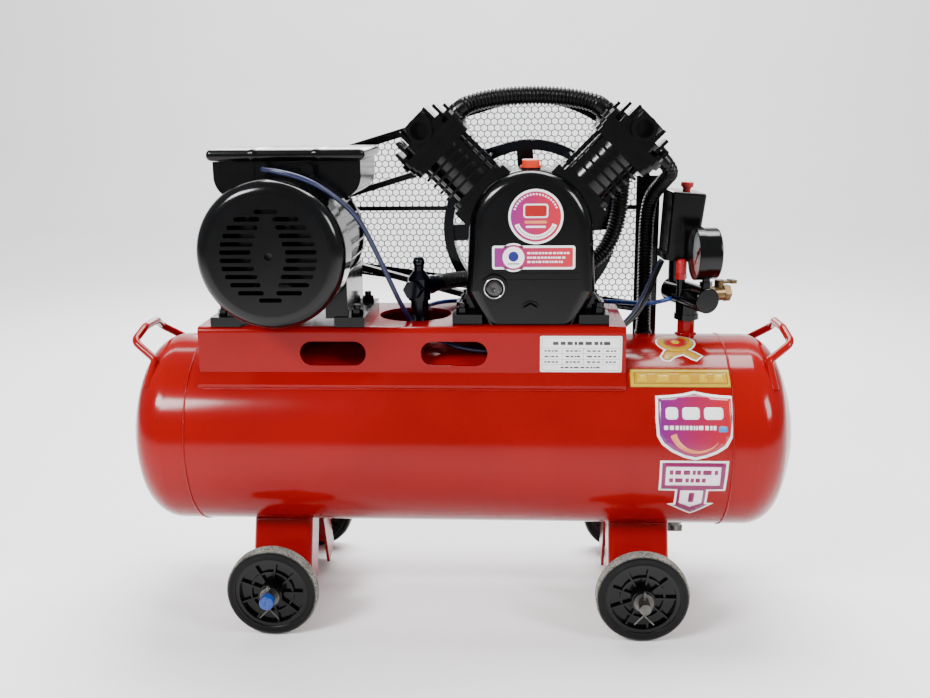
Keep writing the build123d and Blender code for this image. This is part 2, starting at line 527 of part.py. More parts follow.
flywheel = belt_wheel(pump_x, pump_z, fly_r, 15)
flywheel -= wheel_about(pump_x, pump_z, belt_y - 20, belt_y + 20, fly_r - 13)
flywheel += wheel_about(pump_x, pump_z, belt_y - 18, belt_y + 18, 26)
for i in range(4):
    spoke = extrude(Plane(origin=(0, 0, 20)) * Rectangle(22, 9), fly_r - 13 - 18)
    flywheel += Pos(pump_x, belt_y, pump_z) * Rot(0, 90 * i - 4, 0) * spoke
flywheel -= wheel_about(pump_x, pump_z, belt_y - 30, belt_y + 30, crank_r)
save("flywheel", flywheel)

# ---- Motor pulley and drive belt ----
pulley = belt_wheel(motor_x, motor_z, pulley_r, 12)
pulley += wheel_about(motor_x, motor_z, belt_y - 20, belt_y - 8, 19)
pulley -= wheel_about(motor_x, motor_z, belt_y - 30, belt_y + 30, shaft_r)
save("motor_pulley", pulley)


def two_circle_loop(r1, r2):
    """Outline round the flywheel circle r1 and the motor circle r2, with straight tangents."""
    dx, dz = pump_x - motor_x, pump_z - motor_z
    span = math.hypot(dx, dz)
    lean, open_ = math.atan2(dz, dx), math.acos((r1 - r2) / span)
    up, down = lean + math.pi - open_, lean + math.pi + open_

    def at(cx, cz, r, t):
        return (cx + r * math.cos(t), cz + r * math.sin(t))

    top1, low1 = at(pump_x, pump_z, r1, up), at(pump_x, pump_z, r1, down)
    top2, low2 = at(motor_x, motor_z, r2, up), at(motor_x, motor_z, r2, down)
    return [Line(top2, top1), ThreePointArc(top1, at(pump_x, pump_z, r1, lean), low1),
            Line(low1, low2), ThreePointArc(low2, at(motor_x, motor_z, r2, lean + math.pi), top2)]


belt_plane = Plane(origin=(0, belt_y + belt_width / 2, 0), x_dir=(1, 0, 0), z_dir=(0, -1, 0))
belt = extrude(belt_plane * make_face(two_circle_loop(fly_r + 1, pulley_r + 1)), belt_width)
belt -= extrude(belt_plane * make_face(two_circle_loop(fly_r + 1 - belt_thick, pulley_r + 1 - belt_thick)), belt_width)
save("drive_belt", belt)


# ---- Belt guard: bent band, foot post, rib and mesh panel ----
def guard_outline(inset):
    r1, r2 = guard_r1 - inset, guard_r2 - inset
    dx, dz = pump_x - motor_x, pump_z - motor_z
    lean = math.atan2(dz, dx)
    up = lean + math.pi - math.acos((r1 - r2) / math.hypot(dx, dz))
    top1 = (pump_x + r1 * math.cos(up), pump_z + r1 * math.sin(up))
    top2 = (motor_x + r2 * math.cos(up), motor_z + r2 * math.sin(up))
    side = (pump_x + r1, pump_z)
    crest = (pump_x + r1 * math.cos(up / 2), pump_z + r1 * math.sin(up / 2))
    corner = (pump_x + r1, 366 + inset)
    low_x = motor_x - math.sqrt(r2 ** 2 - (44.5 - inset) ** 2)
    low = (low_x, motor_z - 44.5 + inset)
    mid = math.radians(160)
    left = (motor_x + r2 * math.cos(mid), motor_z + r2 * math.sin(mid))
    return make_face([Line(top2, top1), ThreePointArc(top1, crest, side), Line(side, corner),
                      Line(corner, low), ThreePointArc(low, left, top2)])


guard_plane = Plane(origin=(0, guard_y1, 0), x_dir=(1, 0, 0), z_dir=(0, -1, 0))
band = extrude(guard_plane * (guard_outline(0) - guard_outline(guard_sheet)), guard_y1 - guard_y0)
flange = extrude(guard_plane * (guard_outline(2) - guard_outline(11)), 2)
post_x1 = pump_x + guard_r1
post = block(post_x1 - 32, post_x1, 113, 117, 260, 560) - tank_bar
rib = block(-298, post_x1 - 2, guard_y1 - 5, guard_y1, 511, 517)
rib = rib & extrude(guard_plane * guard_outline(2), 10)
bracket = block(-262, -232, 113, 117, 382, 445) + block(-262, -232, 84, 117, 378, 382)
save("belt_guard_frame", band + flange + post + rib + bracket)
save("belt_guard_mesh", Pos(0, 1.5, 0) * extrude(guard_plane * guard_outline(1), 1.5))

# ---- Bolts through the motor and pump feet ----
bolts = []
for x, y, z in bolt_spots:
    bolts.append(hexagon((x, y, z), (x, y, z + 7), 13) + rod((x, y, plat_top), (x, y, z + 13), 4.4))
save("hold_down_bolts", *bolts)

# ---- Check valve standing on the tank through the platform hole ----
cv_x, cv_y = -50.0, -15.0
check = rod((cv_x, cv_y, 345), (cv_x, cv_y, 414), 11.5) - tank_bar
check += rod((cv_x, cv_y, 412), (cv_x, cv_y, 440), 14.5)
check += Pos(cv_x, cv_y, 440) * extrude(Circle(14.5), 10, taper=35)
check += rod((cv_x, cv_y, 445), (cv_x, cv_y, 460), 6.5) + Pos(cv_x, cv_y, 461) * Sphere(7.8)
check += hexagon((cv_x, cv_y, 428), (cv_x - 8, cv_y - 23, 428), 21)
check += rod((cv_x, cv_y, 429), (cv_x + 14, cv_y + 19, 429), 12.5)
save("check_valve", check)

# ---- Hoses, tube and cables ----
reach, inner_l = 175 * math.sqrt(0.5), 48.2 * math.sqrt(0.5)
hose_y = cyl_y + 11
crossover = [(pump_x - reach + inner_l, hose_y, pump_z + reach + inner_l),
             (pump_x - reach + inner_l + 5, hose_y, pump_z + reach + inner_l + 5), (28, hose_y, 661.5),
             (58, hose_y, 666), (93, hose_y, 667.5), (128, hose_y, 666), (158, hose_y, 661.5),
             (pump_x + reach - inner_l - 5, hose_y, pump_z + reach + inner_l + 5),
             (pump_x + reach - inner_l, hose_y, pump_z + reach + inner_l)]
save("crossover_hose", tube("crossover_hose", crossover, 11.8))
back_s = 178 * math.sqrt(0.5)
discharge = [(pump_x + back_s, cyl_y + 48.2, pump_z + back_s), (pump_x + back_s, 58, pump_z + back_s),
             (217, 65, 590), (214, 64, 545),
             (210, 64, 502), (194, 64, 462), (158, 64, 436), (105, 64, 429), (52, 64, 428), (10, 56, 428),
             (cv_x + 31.8, cv_y + 43.2, 429), (cv_x + 14.2, cv_y + 19.3, 429)]
save("discharge_hose", tube("discharge_hose", discharge, 11))
outlet_l = 48.2 * math.sqrt(0.5)
outlet_s = 184 * math.sqrt(0.5)
inlet = [(pump_x + outlet_s + outlet_l, 3, pump_z + outlet_s - outlet_l),
         (pump_x + outlet_s + outlet_l + 15, 3, pump_z + outlet_s - outlet_l - 15), (266, 30, 560),
         (251, 50, 538), (247, 58, 510), (247, 60, 465), (247, 61, 415), (247, 59, 356)]
inlet_hose = tube("tank_inlet_hose", inlet, 9.8)
inlet_hose += rod((247, 59, 330), (247, 59, 356), 12.5) - tank_bar
save("tank_inlet_hose", inlet_hose)
unloader = [on_manifold(-10, side=-17, up=-6), (262, 26, 400), (238, 33, 397.5), (212, 50, 396.5), (160, 62, 396),
            (100, 62, 395.5), (40, 62, 396), (-12, 58, 397), (-36, 28, 399), (cv_x + 9.3, cv_y + 9.3, 402)]
save("unloader_tube", tube("unloader_tube", unloader, 2.9))
motor_lead = [(-219, -118.5, 585.6), (-217, -133, 586), (-192, -144, 584), (-162, -142, 575), (-134, -130, 556),
              (-110, -114, 529), (-96, -96, 493), (-84, -78, 457), (-68, -51, 408), (-56, -30, 380),
              (-30, -38, 366), (6, -56, 357), (48, -58, 353), (100, -48, 357), (150, -29, 365), (196, -12, 366),
              (224, 2, 384), (243, 20, 412), (256, 34, 438), (266, 41, 455)]
motor_cable = tube("motor_lead", motor_lead, 3.1)
supply = [(266, 29, 455), (256, 18, 438), (243, 2, 409), (225, -16, 386), (198, -34, 371), (160, -43, 366),
          (110, -58, 358)]
save("electric_leads", motor_cable, tube("supply_lead", supply, 3.0))
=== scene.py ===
import bpy
import json
import math
import numpy as np
from mathutils import Matrix, Vector
from mathutils.geometry import delaunay_2d_cdt


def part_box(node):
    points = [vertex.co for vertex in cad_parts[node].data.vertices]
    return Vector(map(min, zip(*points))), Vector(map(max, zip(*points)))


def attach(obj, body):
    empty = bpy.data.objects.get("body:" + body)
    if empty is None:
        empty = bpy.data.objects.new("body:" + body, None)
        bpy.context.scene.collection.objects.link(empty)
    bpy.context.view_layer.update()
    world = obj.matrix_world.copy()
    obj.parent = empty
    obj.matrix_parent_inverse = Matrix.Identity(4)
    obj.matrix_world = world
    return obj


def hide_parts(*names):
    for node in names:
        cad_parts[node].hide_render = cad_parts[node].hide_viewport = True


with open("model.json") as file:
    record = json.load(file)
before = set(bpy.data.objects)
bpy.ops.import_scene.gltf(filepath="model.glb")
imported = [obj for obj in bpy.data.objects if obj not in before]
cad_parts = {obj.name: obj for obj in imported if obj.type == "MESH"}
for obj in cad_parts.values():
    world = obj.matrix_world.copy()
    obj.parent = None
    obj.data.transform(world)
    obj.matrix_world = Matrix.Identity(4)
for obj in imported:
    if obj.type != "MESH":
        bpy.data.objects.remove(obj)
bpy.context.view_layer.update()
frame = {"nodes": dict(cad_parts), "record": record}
mm = 0.001

print("stage 1: camera, light and floor")   # the floor itself is made in stage 10

viewing = {
    "place": (0.0832, -1.284, 0.6518),   # metres from the floor point under the tank
    "pitch": 13.516, "yaw": 3.382, "roll": -0.655,
    "lens": 38.71,
}


def placeCamera(v):
    # looking direction from pitch and yaw, then the picture turned by roll about it
    pitch, yaw, roll = (math.radians(v[k]) for k in ("pitch", "yaw", "roll"))
    ahead = Vector((-math.sin(yaw) * math.cos(pitch), math.cos(yaw) * math.cos(pitch), -math.sin(pitch)))
    right = Vector((math.cos(yaw), math.sin(yaw), 0))
    up = right.cross(ahead)
    right2 = math.cos(roll) * right + math.sin(roll) * up
    up2 = -math.sin(roll) * right + math.cos(roll) * up
    data = bpy.data.cameras.new("camera")
    data.lens, data.sensor_width = v["lens"], 36
    data.clip_start, data.clip_end = 0.05, 60
    cam = bpy.data.objects.new("camera", data)
    bpy.context.scene.collection.objects.link(cam)
    cam.matrix_world = Matrix.Translation(v["place"]) @ Matrix((right2, up2, -ahead)).transposed().to_4x4()
    bpy.context.scene.camera = cam


placeCamera(viewing)

lamps = {
    "key": dict(at=(-1.5, -1.7, 1.9), aim=(-0.1, 0, 0.35), size=(0.9, 0.5), power=100),
    "side": dict(at=(2.1, -1.3, 1.6), aim=(0.1, 0, 0.4), size=(0.6, 0.9), power=56),
    "top": dict(at=(0.1, 0.6, 2.5), aim=(0, 0, 0.4), size=(1.8, 0.8), power=118),
    "back": dict(at=(-0.4, 2.2, 1.4), aim=(0, 0, 0.5), size=(1.4, 0.8), power=40),
    "wall": dict(at=(0, 2.6, 4.4), aim=(0, 5.6, 1.0), size=(7.0, 1.6), power=420),
}
for lampName, spec in lamps.items():
    data = bpy.data.lights.new(lampName, "AREA")
    data.shape, data.energy = "RECTANGLE", spec["power"]
    data.size, data.size_y = spec["size"]
    lamp = bpy.data.objects.new(lampName, data)
    bpy.context.scene.collection.objects.link(lamp)
    lamp.location = spec["at"]
    lamp.rotation_mode = "QUATERNION"
    lamp.rotation_quaternion = (Vector(spec["aim"]) - Vector(spec["at"])).to_track_quat("-Z", "Y")

surround = {"colour": (0.95, 0.96, 1.0, 1), "strength": 0.42}
world = bpy.data.worlds.new("world")
bpy.context.scene.world = world
world.use_nodes = True
world.node_tree.nodes["Background"].inputs["Color"].default_value = surround["colour"]
world.node_tree.nodes["Background"].inputs["Strength"].default_value = surround["strength"]

print("stage 2: materials")


def newMaterial(name, settings):
    # a Principled shader whose own sockets carry the constants
    mat = bpy.data.materials.new(name)
    mat.use_nodes = True
    tree = mat.node_tree
    shader = tree.nodes["Principled BSDF"]
    for key, value in settings.items():
        shader.inputs[key].default_value = value
    coords = tree.nodes.new("ShaderNodeTexCoord")
    return mat, tree, shader, coords


def addNoise(tree, coords, scale, detail=3.0, stretch=None):
    # noise on the object's own coordinates, stretched along its axes where asked
    noise = tree.nodes.new("ShaderNodeTexNoise")
    noise.inputs["Scale"].default_value = scale
    noise.inputs["Detail"].default_value = detail
    source = coords.outputs["Object"]
    if stretch:
        mapping = tree.nodes.new("ShaderNodeMapping")
        mapping.inputs["Scale"].default_value = stretch
        tree.links.new(source, mapping.inputs["Vector"])
        source = mapping.outputs["Vector"]
    tree.links.new(source, noise.inputs["Vector"])
    return noise.outputs["Fac"]


def addRamp(tree, fac, stops):
    # colours spread between places from 0 to 1 along a grey value
    ramp = tree.nodes.new("ShaderNodeValToRGB")
    ramp.color_ramp.elements[0].position, ramp.color_ramp.elements[0].color = stops[0][0], (*stops[0][1], 1)
    ramp.color_ramp.elements[1].position, ramp.color_ramp.elements[1].color = stops[-1][0], (*stops[-1][1], 1)
    for place, colour in stops[1:-1]:
        ramp.color_ramp.elements.new(place).color = (*colour, 1)
    tree.links.new(fac, ramp.inputs["Fac"])
    return ramp.outputs["Color"]


def addBump(tree, shader, height, strength, distance):
    # a grey height tilts the surface by strength over distance in metres
    bump = tree.nodes.new("ShaderNodeBump")
    bump.inputs["Strength"].default_value = strength
    bump.inputs["Distance"].default_value = distance
    tree.links.new(height, bump.inputs["Height"])
    tree.links.new(bump.outputs["Normal"], shader.inputs["Normal"])


def greyRange(tree, fac, low, high):
    # a grey value from 0 to 1 moved into the span from low to high
    span = tree.nodes.new("ShaderNodeMapRange")
    span.inputs["To Min"].default_value, span.inputs["To Max"].default_value = low, high
    tree.links.new(fac, span.inputs["Value"])
    return span.outputs["Result"]


def surface(name, light, dark, rough, bumpScale=900.0, bumpDepth=0.00002, strength=0.3, mottle=14.0,
            stretch=None, **sockets):
    # colour drifts between two shades, roughness drifts with a second noise, a fine grain gives the bump
    mat, tree, shader, coords = newMaterial(name, sockets)
    colour = addRamp(tree, addNoise(tree, coords, mottle, 4.0, stretch), [(0.3, dark), (0.72, light)])
    tree.links.new(colour, shader.inputs["Base Color"])
    tree.links.new(greyRange(tree, addNoise(tree, coords, mottle * 2.7, 5.0), rough[0], rough[1]),
                   shader.inputs["Roughness"])
    addBump(tree, shader, addNoise(tree, coords, bumpScale, 2.0, stretch), strength, bumpDepth)
    return mat


mats = {
    "red_steel": surface("glossRedPaint", (0.25, 0.0007, 0.0011), (0.19, 0.0005, 0.0007), (0.1, 0.18), 260, 0.00005,
                         0.2, 5.0, **{"Specular IOR Level": 0.21}),
    "black_enamel": surface("glossBlackEnamel", (0.0014, 0.0015, 0.0017), (0.0006, 0.0006, 0.0007), (0.1, 0.2), 420,
                            0.00004, 0.3, 22, **{"Specular IOR Level": 0.28}),
    "navy_enamel": surface("navyEnamel", (0.0013, 0.0025, 0.008), (0.0007, 0.0012, 0.004), (0.12, 0.22), 420, 0.00006,
                           0.3, 24, **{"Specular IOR Level": 0.26}),
    "plain_steel": surface("dullSteel", (0.15, 0.145, 0.135), (0.06, 0.057, 0.052), (0.34, 0.5), 1400, 0.00002, 0.3,
                           60, **{"Metallic": 1.0}),
    "brass_fitting": surface("agedBrass", (0.2, 0.135, 0.06), (0.09, 0.058, 0.026), (0.26, 0.42), 900, 0.00003, 0.3,
                             70, **{"Metallic": 1.0}),
    "black_plastic": surface("mouldedBlackPlastic", (0.0018, 0.0019, 0.0021), (0.0009, 0.0009, 0.001), (0.12, 0.22),
                             1800, 0.00003, 0.3, 40, **{"Specular IOR Level": 0.26}),
    "blue_plastic": surface("bluePlastic", (0.008, 0.055, 0.3), (0.004, 0.03, 0.18), (0.22, 0.36), 900, 0.00002,
                            0.2, 60),
    "red_plastic": surface("redPlastic", (0.42, 0.006, 0.01), (0.28, 0.004, 0.006), (0.22, 0.34), 900, 0.00002,
                           0.2, 60),
    "orange_plastic": surface("orangeRedPlastic", (0.6, 0.03, 0.0015), (0.46, 0.012, 0.001), (0.24, 0.36), 900, 0.00002,
                              0.2, 40),
    "black_rubber": surface("hoseRubber", (0.0016, 0.0016, 0.0018), (0.0007, 0.0007, 0.0008), (0.22, 0.36), 1200,
                            0.00003, 0.3, 50, **{"Specular IOR Level": 0.2}),
    "navy_cable": surface("navyCableSheath", (0.005, 0.012, 0.06), (0.003, 0.006, 0.03), (0.28, 0.4), 1200, 0.00002,
                          0.25, 60),
    "cast_metal": surface("rawCastIron", (0.13, 0.13, 0.13), (0.06, 0.06, 0.06), (0.45, 0.6), 700, 0.00008, 0.5, 60,
                          **{"Metallic": 0.8}),
    "alloy": surface("machinedAlloy", (0.72, 0.72, 0.73), (0.5, 0.5, 0.52), (0.25, 0.4), 1500, 0.00002, 0.3, 50,
                     **{"Metallic": 1.0}),
    "mesh_wire": surface("blackWire", (0.006, 0.006, 0.006), (0.003, 0.003, 0.003), (0.35, 0.5), 1500, 0.00002, 0.3, 90,
                         **{"Specular IOR Level": 0.3}),
}
# tyre rubber: the tread, where its attribute is high, is scuffed to a dusty grey in long patches
rubber, rubberTree, rubberShader, rubberCoords = newMaterial("tyreRubber", {"Specular IOR Level": 0.16})
black = addRamp(rubberTree, addNoise(rubberTree, rubberCoords, 60), [(0.3, (0.0014, 0.0014, 0.0014)),
                                                                      (0.75, (0.0032, 0.0032, 0.003))])
dusty = addRamp(rubberTree, addNoise(rubberTree, rubberCoords, 520, 5.0), [(0.32, (0.03, 0.028, 0.024)),
                                                                           (0.5, (0.24, 0.23, 0.2)),
                                                                           (0.72, (0.42, 0.42, 0.4))])
tread = rubberTree.nodes.new("ShaderNodeAttribute")
tread.attribute_name = "tread"
patchy = rubberTree.nodes.new("ShaderNodeMath")
patchy.operation = "MULTIPLY"
rubberTree.links.new(tread.outputs["Fac"], patchy.inputs[0])
rubberTree.links.new(greyRange(rubberTree, addNoise(rubberTree, rubberCoords, 34, 6.0), 0.1, 1.5), patchy.inputs[1])
rubberMix = rubberTree.nodes.new("ShaderNodeMix")
rubberMix.data_type = "RGBA"
rubberTree.links.new(patchy.outputs["Value"], rubberMix.inputs["Factor"])
rubberTree.links.new(black, rubberMix.inputs["A"])
rubberTree.links.new(dusty, rubberMix.inputs["B"])
rubberTree.links.new(rubberMix.outputs["Result"], rubberShader.inputs["Base Color"])
rubberTree.links.new(greyRange(rubberTree, tread.outputs["Fac"], 0.34, 0.8), rubberShader.inputs["Roughness"])
addBump(rubberTree, rubberShader, addNoise(rubberTree, rubberCoords, 700), 0.4, 0.00008)
mats["tyre_rubber"] = rubber
glass, glassTree, glassShader, glassCoords = newMaterial("gaugeGlass", {
    "Base Color": (0.9, 0.94, 0.95, 1), "Transmission Weight": 1.0, "IOR": 1.3})
glassTree.links.new(greyRange(glassTree, addNoise(glassTree, glassCoords, 90), 0.01, 0.07),
                    glassShader.inputs["Roughness"])
mats["clear_glass"] = glass

slotOf = {s["node"]: s["material_slot"] for s in frame["record"]["subparts"]}
for nodeName, obj in frame["nodes"].items():
    finish = mats[slotOf[nodeName]]
    obj.data.materials.clear()
    obj.data.materials.append(finish)

print("stage 3: shape tools")


def meshPiece(name, verts, faces, finish, body="receiver", smooth=True):
    # a mesh from points in metres and faces, with its finish, riding on a body
    mesh = bpy.data.meshes.new(name)
    mesh.from_pydata(np.asarray(verts, float).tolist(), [], [list(map(int, f)) for f in faces])
    mesh.update()
    if smooth:
        mesh.polygons.foreach_set("use_smooth", np.ones(len(mesh.polygons), bool))
    obj = bpy.data.objects.new(name, mesh)
    bpy.context.scene.collection.objects.link(obj)
    mesh.materials.append(finish)
    if body:
        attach(obj, body)
    return obj


def gridFaces(nu, nv, closeU, closeV):
    # quads between neighbouring points of a grid that is nu by nv, joined round where asked
    i, j = np.meshgrid(np.arange(nu if closeU else nu - 1), np.arange(nv if closeV else nv - 1), indexing="ij")
    i, j = i.ravel(), j.ravel()
    i2, j2 = (i + 1) % nu, (j + 1) % nv
    return np.stack([i * nv + j, i2 * nv + j, i2 * nv + j2, i * nv + j2], 1)


def gridPiece(name, points, finish, closeU=False, closeV=False, capU=False, flip=False, **rest):
    # points is an nu by nv array of places; capU closes both ends of a tube with a centre point each
    nu, nv = points.shape[:2]
    verts = points.reshape(-1, 3)
    faces = gridFaces(nu, nv, closeU, closeV).tolist()
    if capU:
        j = np.arange(nv)
        first, last = len(verts), len(verts) + 1
        verts = np.vstack([verts, points[0].mean(0), points[-1].mean(0)])
        faces += np.stack([np.full(nv, first), j, (j + 1) % nv], 1).tolist()
        top = (nu - 1) * nv
        faces += np.stack([np.full(nv, last), top + (j + 1) % nv, top + j], 1).tolist()
    if flip:
        faces = [f[::-1] for f in faces]
    return meshPiece(name, verts, faces, finish, **rest)


def routeLine(points, spacing):
    # the smooth line of a quadratic NURBS through the route's control points, at even spacing
    curve = bpy.data.curves.new("route", "CURVE")
    curve.dimensions = "3D"
    spline = curve.splines.new("NURBS")
    spline.points.add(len(points) - 1)
    flat = np.ones((len(points), 4))
    flat[:, :3] = points
    spline.points.foreach_set("co", flat.ravel())
    spline.order_u, spline.use_endpoint_u = 3, True
    curve.resolution_u = 16
    holder = bpy.data.objects.new("route", curve)
    mesh = bpy.data.meshes.new_from_object(holder)
    line = np.empty(len(mesh.vertices) * 3)
    mesh.vertices.foreach_get("co", line)
    line = line.reshape(-1, 3)
    bpy.data.objects.remove(holder)
    bpy.data.meshes.remove(mesh)
    bpy.data.curves.remove(curve)
    run = np.concatenate([[0], np.cumsum(np.linalg.norm(np.diff(line, axis=0), axis=1))])
    count = max(int(run[-1] / spacing) + 1, 3)
    even = np.linspace(0, run[-1], count)
    return np.stack([np.interp(even, run, line[:, k]) for k in range(3)], 1), even


def tubeAlong(line, radii, sides=20, closed=False):
    # a circle of the given radius at each point, square to the line; the start direction is carried along
    if closed:
        tangent = np.roll(line, -1, 0) - np.roll(line, 1, 0)
    else:
        tangent = np.gradient(line, axis=0)
    tangent /= np.linalg.norm(tangent, axis=1)[:, None]
    helper = np.array([0.31, 0.2, 0.93])
    side = np.cross(tangent, helper)
    side /= np.linalg.norm(side, axis=1)[:, None]
    other = np.cross(tangent, side)
    turn = np.linspace(0, 2 * np.pi, sides, endpoint=False)
    ringShape = side[:, None, :] * np.cos(turn)[None, :, None] + other[:, None, :] * np.sin(turn)[None, :, None]
    return line[:, None, :] + ringShape * np.asarray(radii)[:, None, None]


def spun(profile, centre, axis, count=96):
    # a closed outline of (radius, height) pairs turned about an axis through centre
    axis = np.asarray(axis, float)
    a = np.cross(axis, [0.0, 0.0, 1.0] if abs(axis[2]) < 0.9 else [1.0, 0.0, 0.0])
    a /= np.linalg.norm(a)
    b = np.cross(axis, a)
    t = np.linspace(0, 2 * np.pi, count, endpoint=False)
    around = a[None] * np.cos(t)[:, None] + b[None] * np.sin(t)[:, None]
    return (np.asarray(centre)[None, None] + around[:, None, :] * profile[None, :, 0, None]
            + axis[None, None] * profile[None, :, 1, None])


print("stage 4: guard mesh")

guardMesh = {
    "pitch": 9.4, "row": 8.1, "hole": 0.864, "thick": 0.9,   # hole is its share of the cell
    "wheelAt": (93, 492), "wheelReach": 178, "pulleyAt": (-209, 489), "pulleyReach": 97,
    "lowEdge": 366, "plane": 150.9,
}


def guardOutline(inset):
    # big arc round the flywheel, straight top, small arc round the motor pulley, slanting lower edge
    g = guardMesh
    r1, r2 = g["wheelReach"] - inset, g["pulleyReach"] - inset
    (x1, z1), (x2, z2) = g["wheelAt"], g["pulleyAt"]
    dx, dz = float(x1 - x2), float(z1 - z2)
    lean = math.atan2(dz, dx)
    up = lean + math.pi - math.acos((r1 - r2) / math.hypot(dx, dz))
    t = np.linspace(0, up, 60)
    big = np.stack([x1 + r1 * np.cos(t), z1 + r1 * np.sin(t)], 1)
    low = math.pi + math.asin((44.5 - inset) / r2)
    t = np.linspace(up, low, 30)
    small = np.stack([x2 + r2 * np.cos(t), z2 + r2 * np.sin(t)], 1)
    return np.vstack([big, small, [[x1 + r1, g["lowEdge"] + inset]]])


def insidePolygon(p, poly):
    # counts how many edges of the outline a ray from each point crosses
    a, b = poly, np.roll(poly, -1, 0)
    x, z = p[:, 0][:, None], p[:, 1][:, None]
    spans = (a[None, :, 1] > z) != (b[None, :, 1] > z)
    cross = a[None, :, 0] + (z - a[None, :, 1]) * (b[None, :, 0] - a[None, :, 0]) / (
        b[None, :, 1] - a[None, :, 1] + 1e-12)
    return (spans & (x < cross)).sum(1) % 2 == 1


def makeGuardMesh(g):
    # hexagon cells on staggered rows; each cell is six quads between its shared outline and its own hole
    cols, rows = np.meshgrid(np.arange(-40, 42), np.arange(-2, 46), indexing="ij")
    cx = (cols * g["pitch"] + (rows % 2) * g["pitch"] / 2 - 18).ravel()
    cz = (g["lowEdge"] + rows * g["row"]).ravel()
    centres = np.stack([cx, cz], 1)
    centres = centres[insidePolygon(centres, guardOutline(7.5))]
    t = np.radians(30 + 60 * np.arange(6))
    reach = g["row"] / 1.5
    outer = centres[:, None] + np.stack([np.cos(t) * g["pitch"] / math.sqrt(3), np.sin(t) * reach], 1)[None]
    hole = centres[:, None] + (outer - centres[:, None]) * g["hole"]
    keys, index = np.unique(np.round(outer.reshape(-1, 2), 2), axis=0, return_inverse=True)
    index = index.reshape(-1, 6)
    count = len(keys)
    inner = count + np.arange(len(centres) * 6).reshape(-1, 6)
    nxt = np.roll(np.arange(6), -1)
    faces = np.stack([index, index[:, nxt], inner[:, nxt], inner], 2).reshape(-1, 4)
    flat = np.vstack([keys, hole.reshape(-1, 2)])
    verts = np.stack([flat[:, 0], np.full(len(flat), g["plane"]), flat[:, 1]], 1) * mm
    obj = meshPiece("guardWireMesh", verts, faces[:, ::-1], mats["mesh_wire"], smooth=False)
    solid = obj.modifiers.new("thickness", "SOLIDIFY")
    solid.thickness, solid.offset = g["thick"] * mm, 0
    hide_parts("belt_guard_mesh")


makeGuardMesh(guardMesh)

print("stage 5: hoses, tube and leads")

slant = math.sqrt(0.5)   # both cylinders lean 45 degrees
hoses = {
    "crossoverHose": dict(node="crossover_hose", radius=11.8, groove=2.0, pitch=4.6, route=[
        (93 - 126.8 * slant, 0, 492 + 223.2 * slant), (98 - 126.8 * slant, 0, 497 + 223.2 * slant),
        (28, 0, 661.5), (58, 0, 666), (93, 0, 667.5), (128, 0, 666), (158, 0, 661.5),
        (88 + 126.8 * slant, 0, 497 + 223.2 * slant), (93 + 126.8 * slant, 0, 492 + 223.2 * slant)]),
    "dischargeHose": dict(node="discharge_hose", radius=11.0, groove=1.9, pitch=4.6, route=[
        (93 + 178 * slant, 37.2, 492 + 178 * slant), (93 + 178 * slant, 58, 492 + 178 * slant),
        (217, 65, 590), (214, 64, 545), (210, 64, 502), (194, 64, 462), (158, 64, 436), (105, 64, 429),
        (52, 64, 428), (10, 56, 428),
        (-18.2, 28.2, 429), (-35.8, 4.3, 429)]),
    "tankInletHose": dict(node="tank_inlet_hose", radius=9.8, groove=1.8, pitch=4.4, route=[
        (93 + 232.2 * slant, 3, 492 + 135.8 * slant), (108 + 232.2 * slant, 3, 477 + 135.8 * slant),
        (266, 30, 560), (251, 50, 538), (247, 58, 510), (247, 60, 465), (247, 61, 415), (247, 59, 350)]),
}


def makeHose(name, h):
    # radius dips by the groove depth once each pitch, with plain cuffs at both ends
    line, run = routeLine(np.array(h["route"]) * mm, 0.00055)
    wave = 0.5 - 0.5 * np.cos(2 * np.pi * run / (h["pitch"] * mm))
    wave = wave ** 1.6
    ends = np.clip(np.minimum(run, run[-1] - run) / 0.012 - 0.6, 0, 1)
    radii = (h["radius"] - h["groove"] * wave * ends) * mm
    obj = gridPiece(name, tubeAlong(line, radii, 28), mats["black_rubber"], closeV=True, capU=True)
    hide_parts(h["node"])


for hoseName, h in hoses.items():
    makeHose(hoseName, h)

lines = {
    "unloaderTube": dict(node="unloader_tube", radius=2.9, slot="blue_plastic", route=[
        (278.5, 22.2, 406.5), (262, 26, 400), (238, 33, 397.5), (212, 50, 396.5), (160, 62, 396), (100, 62, 395.5),
        (40, 62, 396), (-12, 58, 397), (-36, 28, 399), (-40.7, -5.7, 402)]),
    "motorLead": dict(node="electric_leads", radius=3.1, slot="navy_cable", route=[
        (-219, -118.5, 585.6), (-217, -133, 586), (-192, -144, 584), (-162, -142, 575), (-134, -130, 556),
        (-110, -114, 529), (-96, -96, 493), (-84, -78, 457), (-68, -51, 408), (-56, -30, 380), (-30, -38, 366),
        (6, -56, 357), (48, -58, 353), (100, -48, 357), (150, -29, 365), (196, -12, 366), (224, 2, 384),
        (243, 20, 412), (256, 34, 438), (266, 41, 455)]),
    "supplyLead": dict(node="electric_leads", radius=3.0, slot="black_rubber", route=[
        (266, 29, 455), (256, 18, 438), (243, 2, 409), (225, -16, 386), (198, -34, 371), (160, -43, 366),
        (110, -58, 358)]),
}
for lineName, l in lines.items():
    line = routeLine(np.array(l["route"]) * mm, 0.004)[0]
    radii = np.full(len(line), l["radius"] * mm)
    obj = gridPiece(lineName, tubeAlong(line, radii, 16), mats[l["slot"]], closeV=True, capU=True)
    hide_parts(l["node"])

print("stage 6: tyres")

tyre = {
    "rings": 6, "depth": 0.5, "radius": 58.5, "inner": 46.1, "corner": 6.3,
    "low": 123, "high": 144,             # inner and outer side, from the middle of the axle
    "axleAlong": 233, "axleHigh": 58.5,
}


